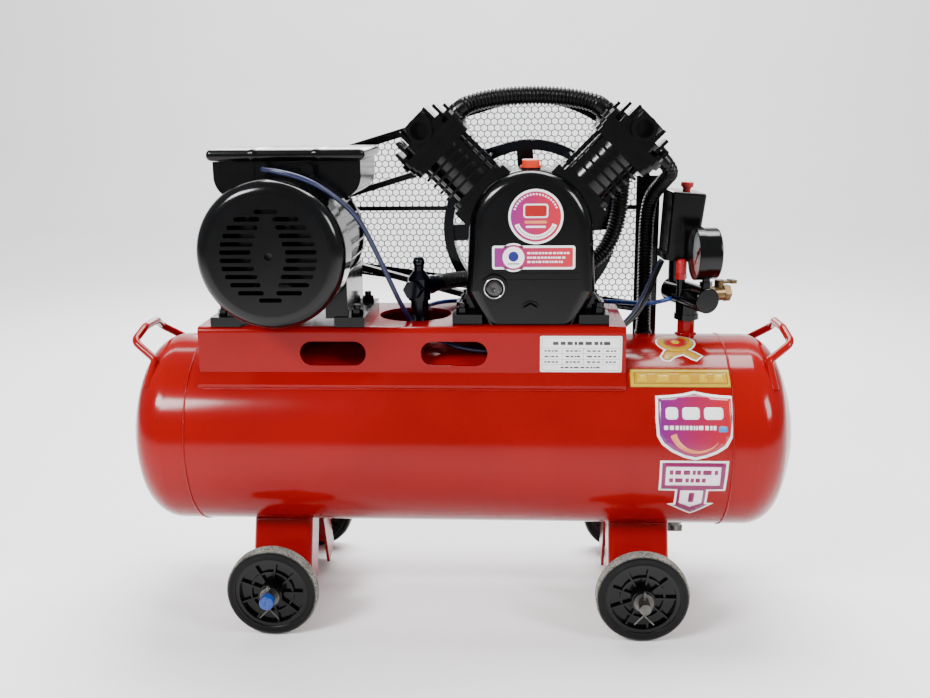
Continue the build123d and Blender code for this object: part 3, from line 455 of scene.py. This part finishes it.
def makeTyre(name, node, body, x, side):
    # outline of the rubber carried round the axle; the tread dips along fine rings and is slightly uneven
    t = tyre
    corner = t["corner"]
    bend = np.linspace(0, np.pi / 2, 10)
    y0, y1, r0, r1 = t["low"], t["high"], t["inner"], t["radius"]
    face = np.linspace(y0 + corner, y1 - corner, 27)[1:-1]
    wall = np.linspace(r0, r1 - corner, 7)[:-1]
    wallIn = 0.7 * np.sin((wall - r0) / (r1 - corner - r0) * np.pi)
    ys = np.concatenate([y0 + wallIn, y0 + corner * (1 - np.cos(bend)), face, y1 - corner * (1 - np.cos(bend[::-1])),
                         (y1 - wallIn)[::-1]])
    rs = np.concatenate([wall, r1 - corner * (1 - np.sin(bend)), np.full(len(face), r1),
                         r1 - corner * (1 - np.sin(bend[::-1])), wall[::-1]])
    turn = np.linspace(0, 2 * np.pi, 240, endpoint=False)
    across = (ys - (y0 + y1) / 2) / ((y1 - y0) / 2 - corner)
    crown = np.clip((rs - (r1 - 1.6)) / 1.6, 0, 1)
    rings = (0.5 - 0.5 * np.cos(np.pi * t["rings"] * across)) * crown
    worn = 0.12 * np.sin(turn * 7 + x) + 0.1 * np.sin(turn * 19 + side)
    radius = rs[None, :] - t["depth"] * rings[None, :] + (worn[:, None] - 0.22) * crown[None, :]
    pts = np.stack([x + radius * np.cos(turn)[:, None], np.broadcast_to(side * ys, radius.shape),
                    t["axleHigh"] + radius * np.sin(turn)[:, None]], 2) * mm
    obj = gridPiece(name, pts, mats["tyre_rubber"], closeU=True, closeV=True, body=body, flip=side > 0)
    scuffed = np.broadcast_to(np.clip((rs - (r1 - 3.2)) / 2.4, 0, 1), radius.shape).ravel()
    obj.data.attributes.new("tread", "FLOAT", "POINT").data.foreach_set("value", scuffed.astype(np.float32))
    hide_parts(node)


for end, x in (("left", -tyre["axleAlong"]), ("right", tyre["axleAlong"])):
    for row, side in (("front", -1), ("rear", 1)):
        makeTyre(f"{row}{end.capitalize()}Tyre", f"{row}_{end}_tyre", f"{row}_{end}_wheel", x, side)

print("stage 7: weld beads")

welds = {
    "bead": 2.1, "ripple": 0.16, "pitch": 3.4,
    "seamAlong": 338, "tankHigh": 236, "stripSide": 97.6, "legAlong": 235, "legSide": 55.5,
    "riserAt": (298, 19), "riserReach": 12.0,
}


def makeBead(name, points, closed=False, radius=None, seed=0.0):
    # a small round ridge whose radius swells once each ripple, as a weld run does
    w = welds
    pts = np.asarray(points, float)
    if closed:
        pts = np.vstack([pts, pts[:1]])
    run = np.concatenate([[0], np.cumsum(np.linalg.norm(np.diff(pts, axis=0), axis=1))])
    count = int(run[-1] / 1.1)
    even = np.linspace(0, run[-1], count + (1 if closed else 0))
    if closed:
        even = even[:-1]
    line = np.stack([np.interp(even, run, pts[:, k]) for k in range(3)], 1)
    base = radius or w["bead"]
    swell = 1 + w["ripple"] * np.sin(2 * np.pi * even / w["pitch"]) + 0.10 * np.sin(even * 0.093 + seed)
    swell = swell + 0.07 * np.sin(even * 0.31 + 2 * seed)
    if not closed:
        swell *= np.clip(np.minimum(even, even[-1] - even) / 2.0, 0.35, 1)
    obj = gridPiece(name, tubeAlong(line, base * swell, 8, closed) * mm, mats["red_steel"], closeU=closed,
                    closeV=True, capU=not closed)
    return obj


def ringPoints(centre, radius, axis, start=0.0, stop=2 * np.pi, count=180):
    # points at one radius round a centre, square to the named axis
    t = np.linspace(start, stop, count, endpoint=stop - start < 6.28)
    c, s = np.cos(t) * radius, np.sin(t) * radius
    z = np.zeros(count)
    shape = {"x": (z, c, s), "y": (c, z, s), "z": (c, s, z)}[axis]
    return np.stack(shape, 1) + np.asarray(centre, float)


tankHigh = welds["tankHigh"]
for i, x in enumerate((-welds["seamAlong"], welds["seamAlong"])):
    makeBead(f"tankSeam{i + 1}", ringPoints((x, 0, tankHigh), 124.7, "x"), closed=True, radius=1.5, seed=i)
stripLow, stripHigh = (np.array(corner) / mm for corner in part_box("platform"))
for i, side in enumerate((-1, 1)):
    edgeZ = tankHigh + math.sqrt(125.3 ** 2 - welds["stripSide"] ** 2)
    edge = [(x, side * (welds["stripSide"] + 0.2), edgeZ) for x in (stripLow[0] + 3, stripHigh[0] - 3)]
    makeBead(f"platformWeld{i + 1}", edge, radius=1.3, seed=i)
for i, x in enumerate((-welds["legAlong"], welds["legAlong"])):
    for j, side in enumerate((-1, 1)):
        # where the splayed leg's outer face meets the tank
        u = np.linspace(-36, 36, 25)
        y = side * welds["legSide"]
        z = tankHigh - math.sqrt(126 ** 2 - welds["legSide"] ** 2)
        line = np.stack([x + u, np.full(25, y), np.full(25, z)], 1)
        makeBead(f"legWeld{2 * i + j + 1}", line, radius=2.3, seed=3 + i + j)
t = np.linspace(0, 2 * np.pi, 60, endpoint=False)
riserX, riserY = welds["riserAt"]
saddleY = riserY + welds["riserReach"] * np.sin(t)
saddle = np.stack([riserX + welds["riserReach"] * np.cos(t), saddleY,
                   tankHigh + np.sqrt(125.4 ** 2 - saddleY ** 2)], 1)
makeBead("riserWeld", saddle, closed=True, radius=2.0, seed=5)

print("stage 8: stickers")


def vinyl(name, stops, axis, low, high):
    # printed colours run along one axis of the object between two places, with slight print unevenness
    mat, tree, shader, coords = newMaterial(name, {"Coat Weight": 0.4, "Coat Roughness": 0.15})
    split = tree.nodes.new("ShaderNodeSeparateXYZ")
    tree.links.new(coords.outputs["Object"], split.inputs["Vector"])
    span = tree.nodes.new("ShaderNodeMapRange")
    span.inputs["From Min"].default_value, span.inputs["From Max"].default_value = low * mm, high * mm
    tree.links.new(split.outputs[axis], span.inputs["Value"])
    wobble = tree.nodes.new("ShaderNodeMath")
    wobble.operation = "MULTIPLY_ADD"
    wobble.inputs[1].default_value = 0.06
    tree.links.new(addNoise(tree, coords, 130), wobble.inputs[0])
    tree.links.new(span.outputs["Result"], wobble.inputs[2])
    tree.links.new(addRamp(tree, wobble.outputs["Value"], stops), shader.inputs["Base Color"])
    tree.links.new(greyRange(tree, addNoise(tree, coords, 60), 0.24, 0.36), shader.inputs["Roughness"])
    return mat


inks = {
    "white": surface("whiteVinyl", (0.86, 0.86, 0.86), (0.78, 0.78, 0.79), (0.28, 0.4), 600, 0.00001, 0.1, 30),
    "yellow": surface("yellowVinyl", (0.44, 0.235, 0.0006), (0.37, 0.185, 0.0005), (0.26, 0.38), 600, 0.00001, 0.1, 26),
    "gold": surface("goldVinyl", (0.52, 0.33, 0.008), (0.44, 0.27, 0.005), (0.26, 0.38), 600, 0.00001, 0.1, 40),
    "olive": surface("oliveInk", (0.12, 0.09, 0.004), (0.08, 0.06, 0.003), (0.3, 0.4), 600, 0.00001, 0.1, 40),
    "red": surface("redInk", (0.36, 0.003, 0.005), (0.28, 0.002, 0.003), (0.26, 0.36), 600, 0.00001, 0.1, 40),
    "grey": surface("greyInk", (0.045, 0.045, 0.05), (0.02, 0.02, 0.024), (0.3, 0.4), 600, 0.00001, 0.1, 60),
    "blue": surface("blueInk", (0.008, 0.015, 0.2), (0.005, 0.009, 0.13), (0.3, 0.4), 600, 0.00001, 0.1, 60),
    "sky": surface("skyInk", (0.03, 0.26, 0.55), (0.02, 0.19, 0.45), (0.3, 0.4), 600, 0.00001, 0.1, 60),
    "peach": surface("peachInk", (0.72, 0.26, 0.1), (0.6, 0.16, 0.06), (0.3, 0.4), 600, 0.00001, 0.1, 60),
    "pink": surface("palePinkInk", (0.86, 0.78, 0.84), (0.8, 0.7, 0.78), (0.3, 0.4), 600, 0.00001, 0.1, 60),
    "plum": surface("plumInk", (0.19, 0.0015, 0.07), (0.15, 0.001, 0.055), (0.28, 0.38), 600, 0.00001, 0.1, 40),
    "shield": vinyl("shieldInk", [(0.0, (0.13, 0.002, 0.15)), (0.55, (0.27, 0.0015, 0.05)),
                                  (1.0, (0.38, 0.002, 0.008))], "X", 250, 334),
    "badge": vinyl("badgeInk", [(0.0, (0.2, 0.004, 0.16)), (0.55, (0.36, 0.002, 0.06)), (1.0, (0.46, 0.004, 0.014))],
                   "X", 68, 130),
    "plate": vinyl("plateInk", [(0.0, (0.17, 0.004, 0.16)), (0.5, (0.33, 0.002, 0.06)), (1.0, (0.46, 0.004, 0.014))],
                   "X", 48, 145),
}


def roundRect(cx, cy, w, h, r):
    # a rectangle whose four corners are quarter circles of radius r
    t = np.linspace(0, np.pi / 2, 6)
    parts = []
    for q, (sx, sy) in enumerate(((1, 1), (-1, 1), (-1, -1), (1, -1))):
        a = t + q * np.pi / 2
        parts.append(np.stack([cx + sx * (w / 2 - r) + r * np.cos(a), cy + sy * (h / 2 - r) + r * np.sin(a)], 1))
    return np.vstack(parts)


def disc(cx, cy, r, n=48, ry=None):
    # a circle, or an ellipse where ry is given, as n corners
    t = np.linspace(0, 2 * np.pi, n, endpoint=False)
    return np.stack([cx + r * np.cos(t), cy + (ry or r) * np.sin(t)], 1)


def grow(outline, by):
    # each corner moves out along the mean direction of its two edges' normals
    d1 = outline - np.roll(outline, 1, 0)
    d2 = np.roll(outline, -1, 0) - outline
    n1 = np.stack([d1[:, 1], -d1[:, 0]], 1) / (np.linalg.norm(d1, axis=1)[:, None] + 1e-9)
    n2 = np.stack([d2[:, 1], -d2[:, 0]], 1) / (np.linalg.norm(d2, axis=1)[:, None] + 1e-9)
    n = n1 + n2
    n /= np.maximum((n * n1).sum(1), 0.5)[:, None]
    return outline + n * by


def tankPlace(u, v, lift):
    # u along the tank, v round it from the middle of its front
    a = v / 125.0
    r = 125.0 + lift
    return np.stack([u, -r * np.cos(a), tankHigh + r * np.sin(a)], 1)


def facePlace(y):
    # flat places on an upright face at y, lifted towards the front
    return lambda u, v, lift: np.stack([u, np.full_like(u, y - lift), v], 1)


def patchPiece(name, layers, place, body="receiver", wrap=0, thick=0.06):
    # each layer is a filled outline in flat (u, v); a grid of points inside lets it bend, then place puts it on
    verts, faces, index, used = [], [], [], []
    for outline, ink, lift in layers:
        pts = np.asarray(outline, float)
        if wrap:
            nxt = np.roll(pts, -1, 0)
            pieces = np.maximum(np.ceil(np.linalg.norm(nxt - pts, axis=1) / wrap).astype(int), 1)
            pts = np.vstack([a + (b - a) * np.arange(k)[:, None] / k for a, b, k in zip(pts, nxt, pieces)])
        inner = np.empty((0, 2))
        if wrap:
            lo, hi = pts.min(0), pts.max(0)
            gu, gv = np.meshgrid(np.arange(lo[0] + wrap, hi[0], wrap), np.arange(lo[1] + wrap * 0.6, hi[1], wrap),
                                 indexing="ij")
            inner = np.stack([gu.ravel(), gv.ravel()], 1)
            inner = inner[insidePolygon(inner, pts)] if len(inner) else inner
            if len(inner):
                gap = np.linalg.norm(inner[:, None] - pts[None], axis=2).min(1)
                inner = inner[gap > wrap * 0.35]
        every = [Vector(p) for p in np.vstack([pts, inner]).tolist()]
        filled = delaunay_2d_cdt(every, [], [list(range(len(pts)))], 1, 1e-5)
        out, tris = filled[0], filled[2]
        flat = np.array([tuple(p) for p in out])
        start = sum(len(v) for v in verts)
        verts.append(place(flat[:, 0], flat[:, 1], lift))
        if ink not in used:
            used.append(ink)
        for f in tris:
            a, b, c = (flat[q] for q in f[:3])
            turnsLeft = (b[0] - a[0]) * (c[1] - a[1]) - (b[1] - a[1]) * (c[0] - a[0]) > 0
            faces.append([start + q for q in (f if turnsLeft else f[::-1])])
            index.append(used.index(ink))
    obj = meshPiece(name, np.vstack(verts) * mm, faces, used[0], body=body, smooth=bool(wrap))
    for ink in used[1:]:
        obj.data.materials.append(ink)
    obj.data.polygons.foreach_set("material_index", index)
    solid = obj.modifiers.new("thickness", "SOLIDIFY")
    solid.thickness, solid.offset = thick * mm, -1
    return obj


def arcBand(cx, cy, r0, r1, start, stop, n=20):
    # the band between two radii from one angle to another, in degrees
    t = np.radians(np.linspace(start, stop, n))
    out = np.stack([cx + r1 * np.cos(t), cy + r1 * np.sin(t)], 1)
    back = np.stack([cx + r0 * np.cos(t[::-1]), cy + r0 * np.sin(t[::-1])], 1)
    return np.vstack([out, back])


def bars(left, right, rows, height, ink, lift, marks, seed):
    # rows of short plain bars stand for printing, their widths set by a fixed random sequence
    rng = np.random.default_rng(seed)
    out = []
    for row in rows:
        widths = rng.uniform(0.5, 1.5, marks)
        widths *= (right - left) / widths.sum()
        starts = left + np.concatenate([[0], np.cumsum(widths)[:-1]])
        out += [(roundRect(s + w * 0.42, row, w * 0.72, height, min(w, height) * 0.12), ink, lift)
                for s, w in zip(starts, widths)]
    return out


shieldShape = np.array([
    (244.8, 78), (262, 79), (278, 81), (292, 84.3), (306, 81), (322, 79), (338.7, 78), (339.2, 50), (337, 28),
    (330, 15), (318, 7), (305, 2), (292.5, -1), (279, 2), (264, 9), (252, 18), (246, 28), (244.2, 50)])[::-1]
sweepTurn = np.radians(np.linspace(200, 325, 26))
sweepThick = np.linspace(8, 0.6, 26)[::-1]
crescent = np.vstack([np.stack([293 + 33 * np.cos(sweepTurn), 40 + 33 * np.sin(sweepTurn)], 1),
                      np.stack([293 + (33 - sweepThick) * np.cos(sweepTurn[::-1]),
                                40 + (33 - sweepThick) * np.sin(sweepTurn[::-1])], 1)])
shieldLayers = [
    (shieldShape, inks["white"], 0.10), (grow(shieldShape, -3.4), inks["shield"], 0.18),
    (crescent, inks["peach"], 0.26),
    (roundRect(264, 56, 15, 15, 4), inks["white"], 0.26), (roundRect(287, 56, 21, 15, 4), inks["white"], 0.26),
    (roundRect(314, 56, 23, 15, 4), inks["white"], 0.26), (roundRect(325, 37, 11, 7, 2), inks["sky"], 0.32),
]
shieldLayers += bars(254, 318, (38.5,), 5.0, inks["white"], 0.26, 13, 5)
patchPiece("shieldSticker", shieldLayers, tankPlace, wrap=5)

boxShape = np.array([
    (250.5, -2), (333, -2), (331.5, -44), (311, -44.5), (311, -66), (320, -66), (294, -91), (263, -68.5),
    (271, -67), (271, -44.5), (250.5, -44)])[::-1]
boxLayers = [
    (boxShape, inks["white"], 0.10),
    (np.array([(253, -4.5), (330, -4.5), (328.8, -41.6), (308.5, -42), (308.5, -68.3), (313.5, -68.6), (294, -87.5),
               (270.5, -70.6), (273.6, -69.5), (273.6, -42), (253.3, -41.6)])[::-1], inks["plum"], 0.18),
    (roundRect(291, -23, 66, 26, 1.5), inks["pink"], 0.26),
    (np.array([(277.2, -44), (305, -44), (305, -66), (291.5, -74), (277.2, -66)])[::-1], inks["pink"], 0.26),
    (roundRect(291.5, -56, 7, 17, 2), inks["plum"], 0.34),
]
boxLayers += bars(262, 322, (-17.5,), 6.0, inks["plum"], 0.34, 7, 11)
boxLayers += bars(262, 308, (-28.5,), 6.0, inks["plum"], 0.34, 6, 12)
patchPiece("arrowSticker", boxLayers, tankPlace, wrap=5)

stripLayers = [
    (roundRect(277, 102.3, 124, 26.5, 1.5), inks["olive"], 0.10),
    (roundRect(277, 102.3, 122.6, 25.1, 1.2), inks["gold"], 0.16),
    (roundRect(277, 102.3, 114, 17.5, 1.0), inks["olive"], 0.22),
    (roundRect(277, 102.3, 112.8, 16.3, 0.8), inks["yellow"], 0.28),
]
stripLayers += [(roundRect(x, 102.3, w, 12.5, 1.2), inks["gold"], 0.34)
                for x, w in ((230, 13), (255, 17), (282, 15), (304, 11), (323, 14))]
patchPiece("yellowStripSticker", stripLayers, tankPlace, wrap=5)

tails = np.array([(262, 152), (254.5, 137), (258.4, 129.4), (266.5, 127.5), (274, 135), (284, 139.5), (293, 131.5),
                  (299.9, 128.4), (309, 138.1), (301, 146), (292, 153)])
medalLayers = [
    (tails, inks["white"], 0.10), (disc(278, 169.5, 25.2, 60, 24.7), inks["white"], 0.13),
    (grow(tails, -2.0), inks["olive"], 0.17), (disc(278, 169.5, 23.2, 60, 22.7), inks["olive"], 0.20),
    (grow(tails, -2.9), inks["yellow"], 0.24), (disc(278, 169.5, 22.3, 60, 21.8), inks["yellow"], 0.27),
    (disc(278, 170.5, 15.2, 48, 14.8), inks["olive"], 0.34), (disc(278, 170.5, 14.2, 48, 13.8), inks["red"], 0.41),
    (disc(278, 170.5, 5.5, 28, 5.3), inks["gold"], 0.48),
]
patchPiece("medalSticker", medalLayers, tankPlace, wrap=4)

labelLayers = [(roundRect(155, 356.7, 100, 45.5, 1.6), inks["white"], 0.10),
               (roundRect(155, 356.7, 96, 41.5, 1.0), inks["grey"], 0.16),
               (roundRect(155, 356.7, 95.2, 40.7, 0.8), inks["white"], 0.22)]
labelLayers += [(roundRect(155, z, 95, 0.35, 0.1), inks["grey"], 0.28) for z in (364.2, 357.2, 350.2, 343.2)]
labelLayers += [(roundRect(x, 353.7, 0.35, 20.7, 0.1), inks["grey"], 0.28) for x in (132, 158, 182)]
labelLayers += bars(120, 193, (370.3,), 4.2, inks["grey"], 0.30, 9, 21)
for n, row in enumerate((360.7, 353.7, 346.7)):
    labelLayers += bars(110, 128, (row,), 1.9, inks["grey"], 0.34, 4, 30 + n)
    labelLayers += bars(136, 155, (row,), 1.9, inks["grey"], 0.34, 4, 40 + n)
    labelLayers += bars(162, 180, (row,), 1.9, inks["grey"], 0.34, 3, 50 + n)
    labelLayers += bars(185, 199, (row,), 1.9, inks["grey"], 0.34, 3, 60 + n)
labelLayers += bars(130, 180, (339.7,), 1.9, inks["grey"], 0.34, 9, 70)
patchPiece("platformLabel", labelLayers, facePlace(-84.0), wrap=0)

badgeLayers = [(disc(99, 524, 33.2, 72), inks["white"], 0.10), (disc(99, 524, 30.4, 72), inks["badge"], 0.18)]
badgeLayers += [(arcBand(99, 524, 26, 28.2, a, a + 4.2, 4), inks["pink"], 0.26) for a in range(22, 160, 8)]
badgeLayers += [(arcBand(99, 524, 22, 27.5, 202, 338, 28), inks["white"], 0.26)]
badgeLayers += [(arcBand(99, 524, 24, 25.6, a, a + 3.4, 4), inks["plum"], 0.34) for a in range(208, 330, 7)]
badgeLayers += [(roundRect(99, 531, 30, 17, 3.5), inks["white"], 0.26), (roundRect(99, 531, 26.4, 13.4, 2.4),
                inks["red"], 0.34), (roundRect(99, 517.5, 27, 3.4, 1.2), inks["peach"], 0.34),
                (roundRect(99, 511.8, 24, 2.4, 0.8), inks["pink"], 0.34)]
patchPiece("roundSticker", badgeLayers, facePlace(-70.0))

plateLayers = [(roundRect(96.5, 474.4, 101, 29, 3), inks["white"], 0.10),
               (disc(72, 474.4, 17.6, 48), inks["white"], 0.10),
               (roundRect(96.5, 474.4, 95.6, 23.6, 1.6), inks["plate"], 0.18), (disc(72, 474.4, 15.6, 48),
               inks["plate"], 0.19), (disc(72, 474.4, 13.3, 48), inks["white"], 0.27),
               (disc(72, 475.6, 6.2, 36), inks["blue"], 0.35),
               (roundRect(72, 466.6, 14, 1.2, 0.4), inks["grey"], 0.35)]
for n, (row, stop) in enumerate(((479.8, 141), (474.2, 136), (469.0, 133))):
    plateLayers += bars(88.5, stop, (row,), 2.5, inks["pink"], 0.27, 13 - n, 80 + n)
patchPiece("crankcaseSticker", plateLayers, facePlace(-70.0))

print("stage 9: gauge dial, sight glass and small fittings")

gauge = {"centre": (312.0, -23.0, 472.2), "turn": 5.0, "face": 6.5, "radius": 30.2}
dialTurn = math.radians(gauge["turn"])
dialRight = np.array([math.sin(dialTurn), -math.cos(dialTurn), 0])
dialOut = np.array([-math.cos(dialTurn), -math.sin(dialTurn), 0])


def dialPlace(u, v, lift):
    # u to the reader's right, v up, lift out of the dial
    return (np.array(gauge["centre"])[None] + np.outer(u, dialRight) + np.outer(v, [0, 0, 1.0])
            + (gauge["face"] + lift) * dialOut[None])


def dialWay(share):
    # direction of the needle at a share of full scale, right and up
    a = math.radians(135 - 270 * share)
    return np.array([-math.sin(a), math.cos(a)])


def dialMark(share, r0, r1, w):
    # a straight mark of width w between two radii at a share of full scale
    d = dialWay(share)
    s = np.array([-d[1], d[0]]) * w / 2
    box = np.array([d * r0 - s, d * r0 + s, d * r1 + s, d * r1 - s])
    area = np.cross(box[1] - box[0], box[2] - box[1])
    return box if area > 0 else box[::-1]


dialLayers = [(disc(0, 0, gauge["radius"], 72), inks["white"], 0.05)]
dialLayers += [(dialMark(n / 60, 25.6, 27.8, 0.25), inks["grey"], 0.14) for n in range(61) if n % 5]
dialLayers += [(dialMark(n / 12, 24.2, 28.0, 0.55), inks["grey"], 0.14) for n in range(13)]
dialLayers += [(dialMark(0.735, 20.0, 28.1, 0.9), inks["red"], 0.2)]
patchPiece("gaugeDial", dialLayers, dialPlace)


def flatText(word, size):
    # the flat outline of a number as points and faces, to be placed on the dial
    curve = bpy.data.curves.new("word", "FONT")
    curve.body, curve.size, curve.align_x, curve.align_y = word, size, "CENTER", "CENTER"
    curve.resolution_u = 3
    holder = bpy.data.objects.new("word", curve)
    mesh = bpy.data.meshes.new_from_object(holder)
    co = np.empty(len(mesh.vertices) * 3)
    mesh.vertices.foreach_get("co", co)
    faces = [list(p.vertices) for p in mesh.polygons]
    bpy.data.objects.remove(holder)
    bpy.data.meshes.remove(mesh)
    bpy.data.curves.remove(curve)
    return co.reshape(-1, 3)[:, :2], faces


verts, faces = [], []
for n in range(0, 13, 2):
    shape, shapeFaces = flatText(str(n), 5.6)
    spot = dialWay(n / 12) * 20.0
    start = sum(len(v) for v in verts)
    verts.append(dialPlace(shape[:, 0] + spot[0], shape[:, 1] + spot[1], 0.16))
    faces += [[start + q for q in f] for f in shapeFaces]
numbers = meshPiece("gaugeNumbers", np.vstack(verts) * mm, faces, inks["grey"], smooth=False)
solid = numbers.modifiers.new("thickness", "SOLIDIFY")
solid.thickness, solid.offset = 0.05 * mm, -1

sightGlass = {"along": 48.5, "high": 437, "lens": -72.6, "oil": -72.52, "ring": -72.5}


def sightPlace(part):
    # the middle of the sight glass at the depth of one of its parts
    return (sightGlass["along"], sightGlass[part], sightGlass["high"])


lensOutline = np.array([(0.01, 0.1), (11.3, 0.1), (11.3, 1.0), (9.0, 1.9), (5.0, 2.5), (0.01, 2.7)])
gridPiece("sightWindow", spun(lensOutline, sightPlace("lens"), (0, -1, 0), 48) * mm, glass, closeU=True, closeV=True)
oil = surface("darkOil", (0.05, 0.03, 0.022), (0.022, 0.012, 0.009), (0.12, 0.22), 90, 0.00001, 0.1, 30)
oilOutline = np.array([(0.01, 0.0), (11.0, 0.0), (11.0, 0.12), (0.01, 0.12)])
gridPiece("sightOil", spun(oilOutline, sightPlace("oil"), (0, -1, 0), 40) * mm, oil, closeU=True, closeV=True)
chrome = surface("brightRing", (0.7, 0.7, 0.7), (0.5, 0.5, 0.52), (0.15, 0.25), 900, 0.00001, 0.1, 40, Metallic=1.0)
ringOutline = np.array([(11.4, 2.6), (12.7, 2.6), (12.9, 3.55), (12.2, 3.8), (11.6, 3.6)])
gridPiece("sightRing", spun(ringOutline, sightPlace("ring"), (0, -1, 0), 64) * mm, chrome, closeU=True, closeV=True)

hoseNut = np.array([(9.9, 0.0), (12.4, 0.0), (12.4, 3.0), (11.3, 4.0), (11.3, 17.0), (9.9, 18.0)])
nutPlace = (247, 59, 338)   # on the tank, where the inlet hose comes down
gridPiece("inletFitting", spun(hoseNut, nutPlace, (0, 0, 1), 48) * mm, mats["black_enamel"], closeU=True, closeV=True)

lid = {"round": 6.5, "end": 6.0, "bandAt": (-232.0, -157.0), "bandWide": 3.2, "bandHigh": 0.9}


def makeLid():
    # rounded sections carried along X; they draw in over each end and swell slightly at the two bands
    low, high = (np.array(corner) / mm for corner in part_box("terminal_box_lid"))
    edge = lid["end"] * (1 - np.cos(np.linspace(0, np.pi / 2, 9)))
    middle = np.arange(low[0] + lid["end"] + 1, high[0] - lid["end"], 1.2)
    xs = np.concatenate([low[0] + edge, middle, (high[0] - edge)[::-1]])
    inEnd = np.clip(lid["end"] - np.minimum(xs - low[0], high[0] - xs), 0, None)
    draw = lid["end"] - np.sqrt(np.maximum(lid["end"] ** 2 - inEnd ** 2, 0)) + lid["bandHigh"]
    for at in lid["bandAt"]:
        draw = draw - lid["bandHigh"] * np.exp(-((xs - at) / lid["bandWide"]) ** 4)
    wide, tall = high[1] - low[1], high[2] - low[2]
    loops = [roundRect((low[1] + high[1]) / 2, (low[2] + high[2]) / 2, wide - 2 * d, tall - 2 * d,
                       max(lid["round"] - d, 0.4)) for d in draw]
    pts = np.stack([np.column_stack([np.full(len(loop), x), loop]) for x, loop in zip(xs, loops)]) * mm
    piece = gridPiece("terminalLid", pts, mats["black_plastic"], closeV=True, capU=True, flip=True)
    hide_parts("terminal_box_lid")


makeLid()
capLow, capHigh = (np.array(corner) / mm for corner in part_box("axle_cap"))
capOutline = np.array([(0.01, -0.4), (8.7, -0.4), (8.7, 0.1), (7.6, 0.7), (4.5, 1.1), (0.01, 1.2)])
capCentre = ((capLow[0] + capHigh[0]) / 2, capLow[1], (capLow[2] + capHigh[2]) / 2)
capEnd = gridPiece("axleCapEnd", spun(capOutline, capCentre, (0, -1, 0), 40) * mm, mats["blue_plastic"], closeU=True,
                   closeV=True)

print("stage 10: floor")

ground, groundTree, groundShader, groundCoords = newMaterial("paleFloor", {"Specular IOR Level": 0.25})
groundTree.links.new(addRamp(groundTree, addNoise(groundTree, groundCoords, 1.4),
                             [(0.2, (0.84, 0.84, 0.85)), (0.8, (0.88, 0.88, 0.88))]), groundShader.inputs["Base Color"])
groundTree.links.new(greyRange(groundTree, addNoise(groundTree, groundCoords, 9), 0.5, 0.62),
                     groundShader.inputs["Roughness"])
# a level floor that curves up into the back wall
xs = np.linspace(-9, 9, 7)
rise = np.linspace(0, 1, 40)
ys = np.where(rise < 0.6, -5 + rise / 0.6 * 9.0, 4 + 2.2 * np.sin(np.clip((rise - 0.6) / 0.4, 0, 1) * np.pi / 2))
zs = np.where(rise < 0.6, 0, 5.0 * (1 - np.cos(np.clip((rise - 0.6) / 0.4, 0, 1) * np.pi / 2)))
sweepPts = np.stack([np.broadcast_to(part, (7, 40)) for part in (xs[:, None], ys, zs)], 2)
floor = gridPiece("floor", sweepPts, ground, body=None)
